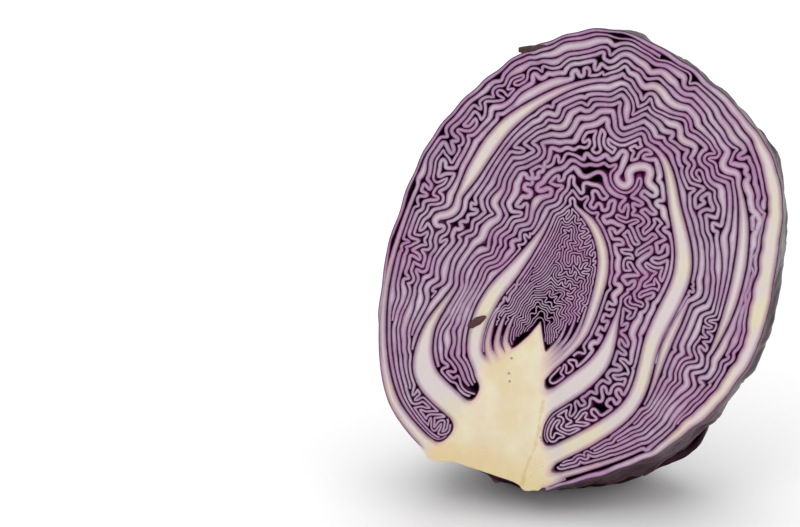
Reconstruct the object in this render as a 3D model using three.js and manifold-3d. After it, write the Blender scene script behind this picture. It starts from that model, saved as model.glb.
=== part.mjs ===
// Half of a red cabbage head, cut lengthwise through its core and standing on its base.
// Millimetres, +Z up. The cut face looks towards -Y and leans back; the round outside is behind it.
// The section is worked out first, flat, in the cut face: the leaves are nested between four drawn
// shells, their blades then grow longer until they fold against each other, and the thick
// petioles stay where they are drawn. Every leaf then runs back from the cut face as a nested dome.
import * as THREE from "three";
import { mergeVertices } from "three/addons/utils/BufferGeometryUtils.js";
import Module from "manifold-3d";

const wasm = await Module();
wasm.setup();

// Driving sizes
const HEAD_DEPTH = 74; // from the cut face to the furthest point of the back
const LEAN_BACK = THREE.MathUtils.degToRad(11); // of the cut face, from upright
const BULGE = new THREE.Vector2(3.5, -4); // how far the head swells past the cut, to the lower right
const SAG = 0.12; // how much further out it sags where it rests, as a share of its radius
const SAG_ANGLE = THREE.MathUtils.degToRad(-60); // the middle of that place, seen from the growing tip
const SAG_WIDTH = THREE.MathUtils.degToRad(34);
const BULGE_DEPTH = 0.5; // where that swelling is greatest, as a share of the head's depth
const FLAT_REST = 4.2; // how deep the resting spot is pressed flat
const REST_LIFT = 3.4; // how far the layers above the resting spot give way
const REST_LIFT_HEIGHT = 28; // and the height over which they do
const GAP = 0.44; // clear distance kept between two leaves
const BLADE_HALF = 1.3; // half thickness of a folded blade, with its share of the gap
const HEART_HALF = 1.0; // the same, of the small leaves inside the heart
const THINNEST_HALF = 0.34; // no blade is thinner than twice this
const OUTER_DEPTHS = [0, 0.2, 0.36, 0.5, 0.64, 0.76, 0.86]; // sections of an outermost leaf, front to back
const WRAPPER_DEPTHS = [0, 0.36, 0.5, 0.64];
const INNER_DEPTHS = [0, 0.5];
const CORE_CLEAR = 0.5; // gap between the core and the leaves that grow from it
// The leaf that cups the back: its thickness, the gap under it, where its rim lies as a share of the
// head's depth, there and behind the stem, and the height of its midrib
const BACK_LEAF = { around: 40, rows: 8, thickness: 1.7, clear: 1.2, rim: 0.52, rimAtStem: 0.3, rib: 2.4 };
const FOLD_SEED = 12;

// The cut face, in its own axes: x right, y up, with the origin at the middle of the face.
// Each shell runs in twelve stations from the core's left side over the top to its right side.
const STATIONS = 12;
const SHELLS = [
  // the head's outline
  [[-52.2, -72.6], [-68.5, -53], [-73.7, -23.3], [-70, 8.1], [-55.6, 45.2], [-27.4, 74.1], [6.7, 85.9],
    [43.7, 68.1], [67.8, 39.6], [69.6, 6.3], [61.1, -32.6], [31.9, -65.9], [-12.6, -84.4]],
  // the two thickest petioles
  [[-44.4, -53], [-55.2, -41.9], [-54.4, -26.3], [-44.4, -9.6], [-35.2, 8.1], [-25.9, 34.1], [3, 52.6],
    [27, 44.4], [34.1, 23], [37.8, 0], [28.1, -25.2], [19.3, -53], [-10.7, -74.1]],
  // the pointed arch of the heart
  [[-34.4, -38.5], [-37, -32.2], [-35.6, -22.2], [-31.1, -11.9], [-23, -1.5], [-15.2, 9.6], [-7.8, 24.1],
    [0.4, 20.4], [5.9, 12.6], [8.1, 2.2], [5.9, -11.1], [0.4, -26.3], [-12.2, -40]],
  // the bud round the growing tip
  [[-24.4, -30.7], [-25.2, -27.4], [-23.7, -22.2], [-21.5, -17.8], [-19.3, -15.2], [-16.7, -13.3],
    [-13.7, -12.6], [-10.7, -13.7], [-8.5, -15.9], [-7, -18.9], [-7, -23], [-8.9, -27.4], [-12.2, -31.9]],
].map(points);
// The core, from the trimmed stem up to the growing tip
const CORE_LEFT = points([[-52.2, -73], [-48.1, -66.7], [-43, -60.4], [-38.5, -53], [-35.2, -45.6],
  [-32.6, -39.3], [-27.8, -34.1], [-23, -30.4], [-18.5, -25.9], [-14.4, -20.7]]);
const CORE_RIGHT = points([[-13.3, -84.8], [-9.6, -80], [-10.7, -74.1], [-11.9, -67.8], [-12.2, -60.4],
  [-13, -53], [-12.6, -45.6], [-12.6, -38.1], [-12.2, -31.9], [-14.4, -20.7]]);
const TIP = CORE_LEFT[CORE_LEFT.length - 1]; // the growing tip, which all leaves surround

// The leaves, from the outside in. level runs from 0 at the outline to 3 at the bud; rib is where the
// leaf is thick and stays as drawn, with its half thicknesses; growth is how readily its blade folds.
const LEAVES = [
  { name: "outer_leaf_right", level: 0, from: 5.2, to: 11.9, half: 0.8, growth: 0,
    ribs: [[5.2, 11.9, [0.6, 0.7, 0.9, 1.9, 3, 3.4, 3.2, 2.5, 1.7, 1.2]]] },
  { name: "outer_leaf_left", level: 0, from: 0.05, to: 6.5, half: 0.7, growth: 0,
    ribs: [[0.05, 4.9, [0.7, 0.6, 0.6, 0.6]]] },
  { name: "wrapper_leaf_left", level: 0.16, levelRight: 0.34, from: 0, to: 10.9, half: 1.1, growth: 0.05,
    ribs: [[0, 3.6, [2.5, 2.2, 1.8, 1.4, 1]]] },
  { name: "leaf_01", level: 0.32, levelRight: 0.42, from: 0.9, to: 11.3, half: BLADE_HALF, growth: 0.5,
    ribs: [[8, 10, [1, 2, 2.4, 2.1, 1]]] },
  { name: "leaf_02", level: 0.5, levelRight: 0.56, from: 1.5, to: 11.2, half: BLADE_HALF, growth: 0.9,
    ribs: [[4.1, 6.2, [1, 2.2, 2.6, 2.2, 1]]] },
  { name: "leaf_03", level: 0.66, from: 2.6, to: 10.5, half: BLADE_HALF, growth: 1, ribs: [] },
  { name: "leaf_04", level: 0.82, from: 2, to: 10.1, half: BLADE_HALF, growth: 0.8,
    ribs: [[8.8, 10.1, [1, 1.7, 1.7, 1.2]]] },
  { name: "petiole_leaf_left", level: 0.97, from: -0.3, to: 9.4, half: BLADE_HALF, growth: 0.3,
    ribs: [[-0.3, 3, [3.6, 4.4, 5, 5, 3.8, 2.6, 1.6, 1.1]]] },
  { name: "petiole_leaf_right", level: 1.07, from: 1.2, to: 12.3, half: BLADE_HALF, growth: 0.3,
    ribs: [[6.9, 12.3, [1.1, 2.1, 2.7, 3.5, 3.6, 3.2, 3, 3.4, 3.4]]] },
  { name: "leaf_05", level: 1.28, from: 0.6, to: 11.4, half: BLADE_HALF, growth: 0.9, ribs: [] },
  { name: "leaf_06", level: 1.5, from: 0.7, to: 12.3, half: BLADE_HALF, growth: 0.9,
    ribs: [[10, 12.3, [1, 2.2, 3.6, 4.2, 3.6, 3.4]]] },
  { name: "leaf_07", level: 1.74, from: 0.6, to: 11.3, half: 1.15, growth: 1, ribs: [] },
  { name: "heart_leaf_left", level: 1.95, from: -0.3, to: 11.1, half: 0.95, growth: 0.1,
    ribs: [[-0.3, 5.2, [2.7, 2.6, 2.5, 2.4, 2, 0.9]]] },
  { name: "heart_leaf_right", level: 2.06, from: 1, to: 12.3, half: 0.95, growth: 0.1,
    ribs: [[6.5, 12.3, [0.9, 1.8, 2.2, 2.3, 2, 1.6, 1.3]]] },
  { name: "heart_leaf_01", level: 2.34, from: 0.6, to: 11.4, half: HEART_HALF, growth: 0.35, ribs: [] },
  { name: "heart_leaf_02", level: 2.64, from: 0.5, to: 11.5, half: 0.85, growth: 0.12, ribs: [] },
  { name: "heart_leaf_03", level: 2.92, from: 0.4, to: 11.6, half: 0.75, growth: 0.04, ribs: [] },
];

// Colours: the cut flesh of ribs and core, the cut blades, and the waxy outside
const FLESH = new THREE.MeshStandardMaterial({ color: 0xe6dcc0, roughness: 0.55, metalness: 0 });
const BLADE = new THREE.MeshStandardMaterial({ color: 0x9c6fa0, roughness: 0.5, metalness: 0 });
const OUTSIDE = new THREE.MeshStandardMaterial({ color: 0x3b1a30, roughness: 0.42, metalness: 0 });

function points(list) {
  return list.map(([x, y]) => new THREE.Vector2(x, y));
}

// A seeded random draw from 0 to 1
function randomFrom(seed) {
  let state = seed >>> 0;
  return () => {
    state = (state + 0x6d2b79f5) >>> 0;
    let mixed = Math.imul(state ^ (state >>> 15), 1 | state);
    mixed = (mixed + Math.imul(mixed ^ (mixed >>> 7), 61 | mixed)) ^ mixed;
    return ((mixed ^ (mixed >>> 14)) >>> 0) / 4294967296;
  };
}

// A value between the entries of a list, at a share from 0 to 1 along it
function along(list, share) {
  const place = THREE.MathUtils.clamp(share, 0, 1) * (list.length - 1);
  const low = Math.min(Math.floor(place), list.length - 2);
  return THREE.MathUtils.lerp(list[low], list[low + 1], place - low);
}

// Smooth noise of about -1 to 1: a few plane waves of nearly one wavelength
function waves(seed, wavelength, count = 6) {
  const random = randomFrom(seed);
  const parts = Array.from({ length: count }, () => {
    const angle = random() * 2 * Math.PI;
    const rate = (2 * Math.PI * (0.7 + 0.8 * random())) / wavelength;
    return [Math.cos(angle) * rate, Math.sin(angle) * rate, random() * 2 * Math.PI];
  });
  return (x, y) => {
    const total = parts.reduce((sum, [a, b, c]) => sum + Math.sin(a * x + b * y + c), 0);
    return total / Math.sqrt(count * 2);
  };
}

// The cut face: shells and levels

const curves = SHELLS.map((shell) => new THREE.SplineCurve(shell));

// A point of the face at a level between two shells and at a station; beyond the ends it runs straight on
function facePoint(level, station) {
  const inner = Math.min(Math.floor(level), SHELLS.length - 2);
  const at = (s) => curves[inner].getPoint(s).lerp(curves[inner + 1].getPoint(s), level - inner);
  const share = station / STATIONS;
  const inside = THREE.MathUtils.clamp(share, 0, 1);
  const place = at(inside);
  if (share !== inside) {
    const slope = at(Math.abs(inside - 0.01)).sub(place);
    place.addScaledVector(slope, -Math.abs(share - inside) / 0.01);
  }
  return place;
}

function insidePolygon(p, polygon) {
  let inside = false;
  polygon.forEach((a, i) => {
    const b = polygon[(i + 1) % polygon.length];
    const spans = a.y > p.y !== b.y > p.y;
    if (spans && p.x < ((b.x - a.x) * (p.y - a.y)) / (b.y - a.y) + a.x) inside = !inside;
  });
  return inside;
}

function segmentDistance(p, a, b) {
  const span = b.clone().sub(a);
  const share = THREE.MathUtils.clamp(p.clone().sub(a).dot(span) / Math.max(span.lengthSq(), 1e-9), 0, 1);
  return p.distanceTo(a.clone().addScaledVector(span, share));
}

// Distance to a polygon's edge, negative outside it
function signedDistance(p, polygon) {
  let least = 1e9;
  polygon.forEach((a, i) => {
    least = Math.min(least, segmentDistance(p, a, polygon[(i + 1) % polygon.length]));
  });
  return insidePolygon(p, polygon) ? least : -least;
}

const outline = [...curves[0].getPoints(96), CORE_RIGHT[0], CORE_LEFT[0]];
const coreOutline = [...CORE_LEFT, ...CORE_RIGHT.slice(0, -1).reverse()];

// Growth: blades lengthen and fold until they press on each other

const SPACING = 1.05; // between two points of a centre line
const GROWTH_ROUNDS = 8;
const STEPS_A_ROUND = 150;
const GROWTH_A_ROUND = 0.5; // most that a free blade lengthens in one round
const PRESSED = 0.4; // overlap at which a blade stops growing
const TIGHTEST = 0.4; // how much longer than its room a stretch of blade gets before it folds
const BEND = 0.5; // stiffness of a bend
const FIELD_STEP = 0.8; // grid of the distance field
const FIELD_LOW = new THREE.Vector2(-84, -94);
const FIELD_SIZE = [212, 234];

// A leaf's centre line as drawn, with its half thickness and where it stays put
function drawnLine(leaf) {
  const line = [];
  const count = 900;
  for (let i = 0; i <= count; i++) {
    const station = THREE.MathUtils.lerp(leaf.from, leaf.to, i / count);
    const rib = leaf.ribs.find(([a, b]) => station >= a && station <= b);
    const half = rib ? along(rib[2], (station - rib[0]) / (rib[1] - rib[0])) : leaf.half;
    const p = facePoint(along([leaf.level, leaf.levelRight ?? leaf.level], station / STATIONS), station);
    if (leaf.level === 0) {
      // an outermost leaf lies inside the outline by its own half thickness
      const ahead = facePoint(0, station + 0.02).sub(facePoint(0, station - 0.02)).normalize();
      const under = rib ? 0 : 2.3 * THREE.MathUtils.smoothstep(station, 4.9, 5.4);
      p.add(new THREE.Vector2(ahead.y, -ahead.x).multiplyScalar(half + 0.1 + under));
    }
    line.push({ x: p.x, y: p.y, half, fixed: Boolean(rib), strain: 1 });
  }
  return line;
}

// The same line with points an even distance apart
function respaced(line, spacing) {
  const run = [0];
  for (let i = 1; i < line.length; i++)
    run.push(run[i - 1] + Math.hypot(line[i].x - line[i - 1].x, line[i].y - line[i - 1].y));
  const total = run[run.length - 1];
  const count = Math.max(3, Math.round(total / spacing));
  const made = [];
  for (let k = 0, i = 0; k <= count; k++) {
    const want = (total * k) / count;
    while (i < line.length - 2 && run[i + 1] < want) i++;
    const share = (want - run[i]) / Math.max(run[i + 1] - run[i], 1e-9);
    const a = line[i];
    const b = line[i + 1];
    const mix = (key) => a[key] + (b[key] - a[key]) * share;
    const fixed = share < 0.5 ? a.fixed : b.fixed;
    made.push({ x: mix("x"), y: mix("y"), half: mix("half"), strain: mix("strain"), fixed });
  }
  return made;
}

// Distance to everything that stays put: the outline, the core and the ribs
function distanceField(lines) {
  const [columns, rows] = FIELD_SIZE;
  const values = new Float64Array(columns * rows);
  const place = (i, j) => new THREE.Vector2(FIELD_LOW.x + i * FIELD_STEP, FIELD_LOW.y + j * FIELD_STEP);
  for (let i = 0; i < columns; i++)
    for (let j = 0; j < rows; j++) {
      const p = place(i, j);
      values[i * rows + j] = Math.min(signedDistance(p, outline), -signedDistance(p, coreOutline));
    }
  const reach = 14;
  for (const knot of lines.flat().filter((k) => k.fixed)) {
    const ci = Math.round((knot.x - FIELD_LOW.x) / FIELD_STEP);
    const cj = Math.round((knot.y - FIELD_LOW.y) / FIELD_STEP);
    for (let i = Math.max(0, ci - reach); i < Math.min(columns, ci + reach); i++)
      for (let j = Math.max(0, cj - reach); j < Math.min(rows, cj + reach); j++) {
        const p = place(i, j);
        const free = Math.hypot(p.x - knot.x, p.y - knot.y) - knot.half;
        values[i * rows + j] = Math.min(values[i * rows + j], free);
      }
  }
  return (x, y) => {
    const fx = THREE.MathUtils.clamp((x - FIELD_LOW.x) / FIELD_STEP, 0, columns - 1.001);
    const fy = THREE.MathUtils.clamp((y - FIELD_LOW.y) / FIELD_STEP, 0, rows - 1.001);
    const i = Math.floor(fx);
    const j = Math.floor(fy);
    const a = fx - i;
    const b = fy - j;
    const at = (p, q) => values[(i + p) * rows + j + q];
    const value =
      at(0, 0) * (1 - a) * (1 - b) + at(1, 0) * a * (1 - b) + at(0, 1) * (1 - a) * b + at(1, 1) * a * b;
    const gx = ((at(1, 0) - at(0, 0)) * (1 - b) + (at(1, 1) - at(0, 1)) * b) / FIELD_STEP;
    const gy = ((at(0, 1) - at(0, 0)) * (1 - a) + (at(1, 1) - at(1, 0)) * a) / FIELD_STEP;
    const slope = Math.max(Math.hypot(gx, gy), 0.3);
    return [value, gx / slope, gy / slope];
  };
}

// A first gentle bend of all blades together, faded out towards what stays put
function firstBend(lines, field) {
  const amplitude = 2;
  for (let pass = 0; pass < 4; pass++) {
    const sideways = waves(FOLD_SEED + 20 + pass, 22, 5);
    const upwards = waves(FOLD_SEED + 40 + pass, 22, 5);
    for (const knot of lines.flat().filter((k) => !k.fixed)) {
      const fade = THREE.MathUtils.smoothstep(field(knot.x, knot.y)[0], 1, 9) * amplitude;
      const { x, y } = knot;
      knot.x += sideways(x, y) * fade;
      knot.y += upwards(x, y) * fade;
    }
  }
}

function closePairs(knots, reach) {
  const cells = new Map();
  const key = (i, j) => i * 1000 + j;
  knots.forEach((k, n) => {
    k.ci = Math.floor(k.x / reach) + 200;
    k.cj = Math.floor(k.y / reach) + 200;
    const id = key(k.ci, k.cj);
    if (!cells.has(id)) cells.set(id, []);
    cells.get(id).push(n);
  });
  const pairs = [];
  knots.forEach((k, n) => {
    if (k.fixed) return;
    for (let i = -1; i <= 1; i++)
      for (let j = -1; j <= 1; j++)
        for (const m of cells.get(key(k.ci + i, k.cj + j)) ?? []) {
          const other = knots[m];
          if (m <= n || other.fixed) continue;
          if (other.leaf === k.leaf && m - n < 5) continue;
          if (Math.hypot(k.x - other.x, k.y - other.y) < reach) pairs.push([k, other]);
        }
  });
  return pairs;
}

// One round of growth: lengthen, then let every blade settle clear of the others
function settle(lines, field, growing, random) {
  const knots = lines.flat();
  const patchy = waves(FOLD_SEED + 3, 40);
  lines.forEach((line, leaf) =>
    line.forEach((k, i) => {
      const readiness = 1 + 0.8 * patchy(k.x, k.y) + 0.4 * patchy(k.y + leaf * 17, k.x - leaf * 9);
      k.leaf = leaf;
      k.rate = LEAVES[leaf].growth * THREE.MathUtils.clamp(readiness, 0, 1.8) * growing;
      k.press = 0;
      k.byRib = line.slice(Math.max(0, i - 4), i + 5).some((near) => near.fixed);
    }),
  );
  const links = lines.flatMap((line) =>
    line.slice(1).map((b, i) => {
      const a = line[i];
      const rest = Math.hypot(a.x - b.x, a.y - b.y) * (a.strain + b.strain) * 0.5;
      return { a, b, rest, still: a.fixed && b.fixed };
    }),
  );
  const bends = lines.flatMap((line) => line.slice(1, -1).map((m, i) => [line[i], m, line[i + 2]]));
  let pairs = [];
  for (let step = 0; step < STEPS_A_ROUND; step++) {
    if (step % 8 === 0) pairs = closePairs(knots, 2.9 * BLADE_HALF);
    for (const k of knots) {
      k.dx = 0;
      k.dy = 0;
      k.weight = 0;
      k.hit = 0;
    }
    for (const link of links) {
      const { a, b } = link;
      const room = (k) => THREE.MathUtils.clamp(1 - k.press / PRESSED, -0.2, 1) * k.rate;
      const length = Math.hypot(b.x - a.x, b.y - a.y) + 1e-9;
      const slack = THREE.MathUtils.clamp(1 - (link.rest / length - 1) / TIGHTEST, 0, 1);
      const growth = (GROWTH_A_ROUND / STEPS_A_ROUND) * 0.5 * slack * (room(a) + room(b));
      if (!link.still) link.rest *= 1 + growth;
      const pull = (0.5 * (length - link.rest)) / length;
      push(a, (b.x - a.x) * pull, (b.y - a.y) * pull, 1);
      push(b, (a.x - b.x) * pull, (a.y - b.y) * pull, 1);
    }
    for (const [a, m, b] of bends) {
      const bx = ((a.x + b.x) / 2 - m.x) * BEND;
      const by = ((a.y + b.y) / 2 - m.y) * BEND;
      push(m, bx, by, 2 * BEND);
      push(a, -bx / 2, -by / 2, BEND);
      push(b, -bx / 2, -by / 2, BEND);
    }
    for (const [a, b] of pairs) {
      const length = Math.hypot(b.x - a.x, b.y - a.y) + 1e-9;
      const overlap = a.half + b.half - length;
      if (overlap <= 0) continue;
      const apart = (0.5 * overlap) / length;
      push(a, (a.x - b.x) * apart, (a.y - b.y) * apart, 1);
      push(b, (b.x - a.x) * apart, (b.y - a.y) * apart, 1);
      a.hit += overlap;
      b.hit += overlap;
    }
    for (const k of knots) {
      const jitter = [random() - 0.5, random() - 0.5].map((v) => v * 0.03);
      if (k.fixed) continue;
      const eager = 1.6 / Math.max(k.weight, 1);
      let mx = k.dx * eager + jitter[0];
      let my = k.dy * eager + jitter[1];
      if (!k.byRib) {
        const [clear, gx, gy] = field(k.x + mx, k.y + my);
        const short = THREE.MathUtils.clamp(k.half - clear, 0, 1);
        mx += gx * short;
        my += gy * short;
        k.hit += short;
      }
      const limit = Math.min(1, 0.5 / Math.max(Math.hypot(mx, my), 1e-9));
      k.x += mx * limit;
      k.y += my * limit;
      k.press = 0.9 * k.press + 0.1 * k.hit;
    }
  }
  for (const k of knots) k.strains = [];
  for (const { a, b, rest } of links) {
    const strain = THREE.MathUtils.clamp(rest / Math.hypot(a.x - b.x, a.y - b.y), 0.8, 1.5);
    a.strains.push(strain);
    b.strains.push(strain);
  }
  for (const k of knots) k.strain = k.strains.reduce((sum, s) => sum + s, 0) / k.strains.length;
}

function push(knot, x, y, weight) {
  knot.dx += x;
  knot.dy += y;
  knot.weight += weight;
}

function grownLines() {
  const random = randomFrom(FOLD_SEED);
  let lines = LEAVES.map((leaf) => respaced(drawnLine(leaf), SPACING));
  const field = distanceField(lines);
  firstBend(lines, field);
  for (let round = 0; round <= GROWTH_ROUNDS; round++) {
    settle(lines, field, round < GROWTH_ROUNDS ? 1 : 0, random);
    if (round < GROWTH_ROUNDS) lines = lines.map((line) => respaced(line, SPACING));
  }
  return lines;
}

// From centre lines to ribbons that keep clear of each other

const LINE_TOLERANCE = 0.5; // how far a straight stretch may leave the grown line
const LONGEST_STRETCH = 9;

// Fewer points: Ramer, Douglas and Peucker's rule
function simplified(line) {
  const [a, b] = [line[0], line[line.length - 1]].map((k) => new THREE.Vector2(k.x, k.y));
  let worst = 0;
  let most = 0;
  line.forEach((k, i) => {
    const away = segmentDistance(new THREE.Vector2(k.x, k.y), a, b);
    if (away > most) [worst, most] = [i, away];
  });
  if (most < LINE_TOLERANCE) {
    if (a.distanceTo(b) <= LONGEST_STRETCH || line.length <= 8) return [line[0], line[line.length - 1]];
    worst = Math.floor(line.length / 2);
  }
  return [...simplified(line.slice(0, worst + 1)).slice(0, -1), ...simplified(line.slice(worst))];
}

// Half thicknesses, held back wherever a neighbour, a fold or a tight bend is near. A thin stretch that
// is still too near moves aside.
const FIT_PASSES = 20;
const FIT_REACH = 9;
function fittedHalves(lines) {
  const halves = lines.map((line) => line.map((k) => Math.max(k.half - GAP / 2, THINNEST_HALF)));
  for (let pass = 0; pass < FIT_PASSES; pass++) {
    lines.forEach((line, own) => holdBends(line, halves[own]));
    const runs = lines.map(runAlong);
    const probes = lines.flatMap((line, own) => probesOf(line, halves[own], own, runs[own]));
    for (const probe of probes) keepClear(probe, lines, halves, runs);
  }
  return halves;
}

// No thicker than a bend allows, so that the inner side doesn't fold over itself
function holdBends(line, half) {
  for (let i = 1; i < line.length - 1; i++) {
    const turn = Math.abs(turning(line[i - 1], line[i], line[i + 1]));
    const shorter = Math.min(span(line[i], line[i - 1]), span(line[i], line[i + 1]));
    const most = (0.48 * shorter) / Math.max(Math.tan(turn / 2), 0.05);
    half[i] = Math.max(Math.min(half[i], most), THINNEST_HALF);
  }
}

function runAlong(line) {
  const run = [0];
  for (let i = 1; i < line.length; i++) run[i] = run[i - 1] + span(line[i], line[i - 1]);
  return run;
}

// Places on both sides of a ribbon, at its points and midway between them
function probesOf(line, half, own, run) {
  const sides = ribbonSides(line, half);
  const probes = [];
  sides.forEach((pair, i) =>
    pair.forEach((p, side) => {
      probes.push({ p, own, i, at: run[i] });
      if (i === sides.length - 1) return;
      const midway = p.clone().lerp(sides[i + 1][side], 0.5);
      probes.push({ p: midway, own, i, at: (run[i] + run[i + 1]) / 2, between: true });
    }),
  );
  return probes;
}

function keepClear({ p, own, i, at, between }, lines, halves, runs) {
  lines.forEach((line, k) => {
    for (let n = 0; n < line.length - 1; n++) {
      const [a, b] = [line[n], line[n + 1]];
      if (Math.abs(a.x - p.x) > FIT_REACH || Math.abs(a.y - p.y) > FIT_REACH) continue;
      let needed = GAP;
      if (k === own) {
        if (n >= i - 1 && n <= i + (between ? 1 : 0)) continue;
        const apart = Math.min(Math.abs(runs[k][n] - at), Math.abs(runs[k][n + 1] - at));
        if (apart < 4 * halves[k][n]) needed = 0.05;
      }
      const [dx, dy] = [b.x - a.x, b.y - a.y];
      const along = ((p.x - a.x) * dx + (p.y - a.y) * dy) / (dx * dx + dy * dy);
      const share = THREE.MathUtils.clamp(along, 0, 1);
      const [ex, ey] = [p.x - a.x - dx * share, p.y - a.y - dy * share];
      const away = Math.hypot(ex, ey);
      const short = needed - (away - halves[k][n] * (1 - share) - halves[k][n + 1] * share);
      if (short <= 0) continue;
      const give = short * 0.52;
      const mine = between ? [i, i + 1] : [i];
      for (const m of mine) halves[own][m] = Math.max(halves[own][m] - give, THINNEST_HALF);
      for (const m of [n, n + 1]) halves[k][m] = Math.max(halves[k][m] - give, THINNEST_HALF);
      const thin = mine.every((m) => halves[own][m] <= THINNEST_HALF);
      if (!thin || away < 1e-6) continue;
      for (const m of mine) {
        const knot = lines[own][m];
        if (knot.fixed) continue;
        knot.x += (ex / away) * give * 0.5;
        knot.y += (ey / away) * give * 0.5;
      }
    }
  });
}

const span = (a, b) => Math.hypot(a.x - b.x, a.y - b.y);

function turning(a, b, c) {
  const into = [b.x - a.x, b.y - a.y];
  const out = [c.x - b.x, c.y - b.y];
  return Math.atan2(into[0] * out[1] - into[1] * out[0], into[0] * out[0] + into[1] * out[1]);
}

// The two sides of a ribbon, as [outer, inner] points for each centre point
function ribbonSides(line, halves) {
  const p = line.map((k) => new THREE.Vector2(k.x, k.y));
  return p.map((here, i) => {
    const into = here.clone().sub(p[Math.max(i - 1, 0)]).normalize();
    const out = p[Math.min(i + 1, p.length - 1)].clone().sub(here).normalize();
    const ahead = into.clone().add(out).normalize();
    const square = new THREE.Vector2(-ahead.y, ahead.x);
    const atEnd = i === 0 || i === p.length - 1;
    const stretch = atEnd ? 1 : Math.min(1 / Math.max(ahead.dot(out), 0.5), 1.4);
    return [1, -1].map((side) => here.clone().addScaledVector(square, side * halves[i] * stretch));
  });
}

// From the cut face into the head's depth

// Distance from the growing tip to the outline, in each direction
const REACHES = 360;
const reaches = Array.from({ length: REACHES }, (_, i) => {
  const angle = (i / REACHES) * 2 * Math.PI;
  const ray = new THREE.Vector2(Math.cos(angle), Math.sin(angle));
  let least = 1e9;
  outline.forEach((a, n) => {
    const edge = outline[(n + 1) % outline.length].clone().sub(a);
    const turn = ray.cross(edge);
    const away = a.clone().sub(TIP);
    const distance = away.cross(edge) / turn;
    const share = away.cross(ray) / turn;
    if (distance > 0 && share >= 0 && share <= 1) least = Math.min(least, distance);
  });
  return least;
});
function reachAt(angle) {
  const place = ((angle / (2 * Math.PI)) * REACHES + 2 * REACHES) % REACHES;
  const low = Math.floor(place) % REACHES;
  return THREE.MathUtils.lerp(reaches[low], reaches[(low + 1) % REACHES], place - Math.floor(place));
}

const skinWaves = waves(FOLD_SEED + 60, 34);
const fineSkinWaves = waves(FOLD_SEED + 61, 15);

// How much of the swelling shows at a depth: straight up to its fullest, then fading
function swellAt(back) {
  const share = back / (HEAD_DEPTH * BULGE_DEPTH);
  return share < 1 ? share : 0.5 + 0.5 * Math.cos(Math.min((share - 1) * 2.4, Math.PI));
}

// A point of the cut face carried back into the head: depth runs from 0 at the cut to 1 at the dome's back.
// The base is squarer than the crown, and the whole head swells to the lower right behind the cut.
function carriedBack(p, depth) {
  const away = p.clone().sub(TIP);
  const angle = Math.atan2(away.y, away.x);
  const level = away.length() / reachAt(angle);
  const squareness = 2.75 - 0.6 * Math.sin(angle);
  const shrink = Math.pow(Math.max(1 - Math.pow(depth, squareness), 0), 1 / squareness);
  const across = Math.cos(angle) * 42 + depth * 60;
  const upward = Math.sin(angle) * 42 - depth * 50;
  const lumps = skinWaves(across, upward) + 0.5 * fineSkinWaves(across, upward);
  const lumpy = 1 + 0.016 * level * lumps * Math.min(1, depth * 4);
  const back = HEAD_DEPTH * level * depth * (depth < 1 ? lumpy : 1);
  const swell = swellAt(back);
  const sag = 1 + SAG * Math.exp(-(((angle - SAG_ANGLE) / SAG_WIDTH) ** 2)) * swell;
  const flat = TIP.clone().addScaledVector(away, shrink * lumpy * sag).addScaledVector(BULGE, swell);
  return new THREE.Vector3(flat.x, back, flat.y);
}

// Stand the face up, leaning back
const lean = new THREE.Matrix4().makeRotationX(-LEAN_BACK);
const stood = (v) => v.clone().applyMatrix4(lean);

// Meshes from rings: each ring is a closed row of points, and each next ring lies deeper.
// skin(ring, i) says whether a point belongs to the outermost surface, which the rest spot flattens.
class Rings {
  constructor() {
    this.corners = [];
    this.faces = [];
  }
  add(ring) {
    const first = this.corners.length;
    this.corners.push(...ring);
    return ring.map((_, i) => first + i);
  }
  wall(near, far) {
    near.forEach((a, i) => {
      const next = (i + 1) % near.length;
      this.faces.push([a, near[next], far[next]], [a, far[next], far[i]]);
    });
  }
  // a ribbon's end, from the pairs of its two sides
  strip(ring, flip) {
    const count = ring.length / 2;
    for (let i = 0; i < count - 1; i++) {
      const [a, b, c, d] = [ring[i], ring[i + 1], ring[2 * count - 2 - i], ring[2 * count - 1 - i]];
      if (flip) this.faces.push([a, b, c], [a, c, d]);
      else this.faces.push([a, c, b], [a, d, c]);
    }
  }
}

const placed = []; // every solid as { name, corners, faces, skin, material }

// A leaf from its ribbon: the two sides in one ring, carried back at a few depths
function leafSolid(name, sides, depths, material, outermost) {
  const rings = new Rings();
  const ring = [...sides.map(([outer]) => outer), ...sides.map(([, inner]) => inner).reverse()];
  const levels = depths.map((depth) => rings.add(ring.map((p) => stood(carriedBack(p, depth)))));
  levels.slice(1).forEach((far, i) => rings.wall(levels[i], far));
  rings.strip(levels[0], false);
  rings.strip(levels[levels.length - 1], true);
  const bare = ring.length * depths.filter((depth) => depth < BACK_LEAF.rimAtStem).length;
  const skin = rings.corners.map((_, i) => outermost && i < bare && i % ring.length < sides.length);
  placed.push({ name, corners: rings.corners, faces: rings.faces, skin, material });
}

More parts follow.
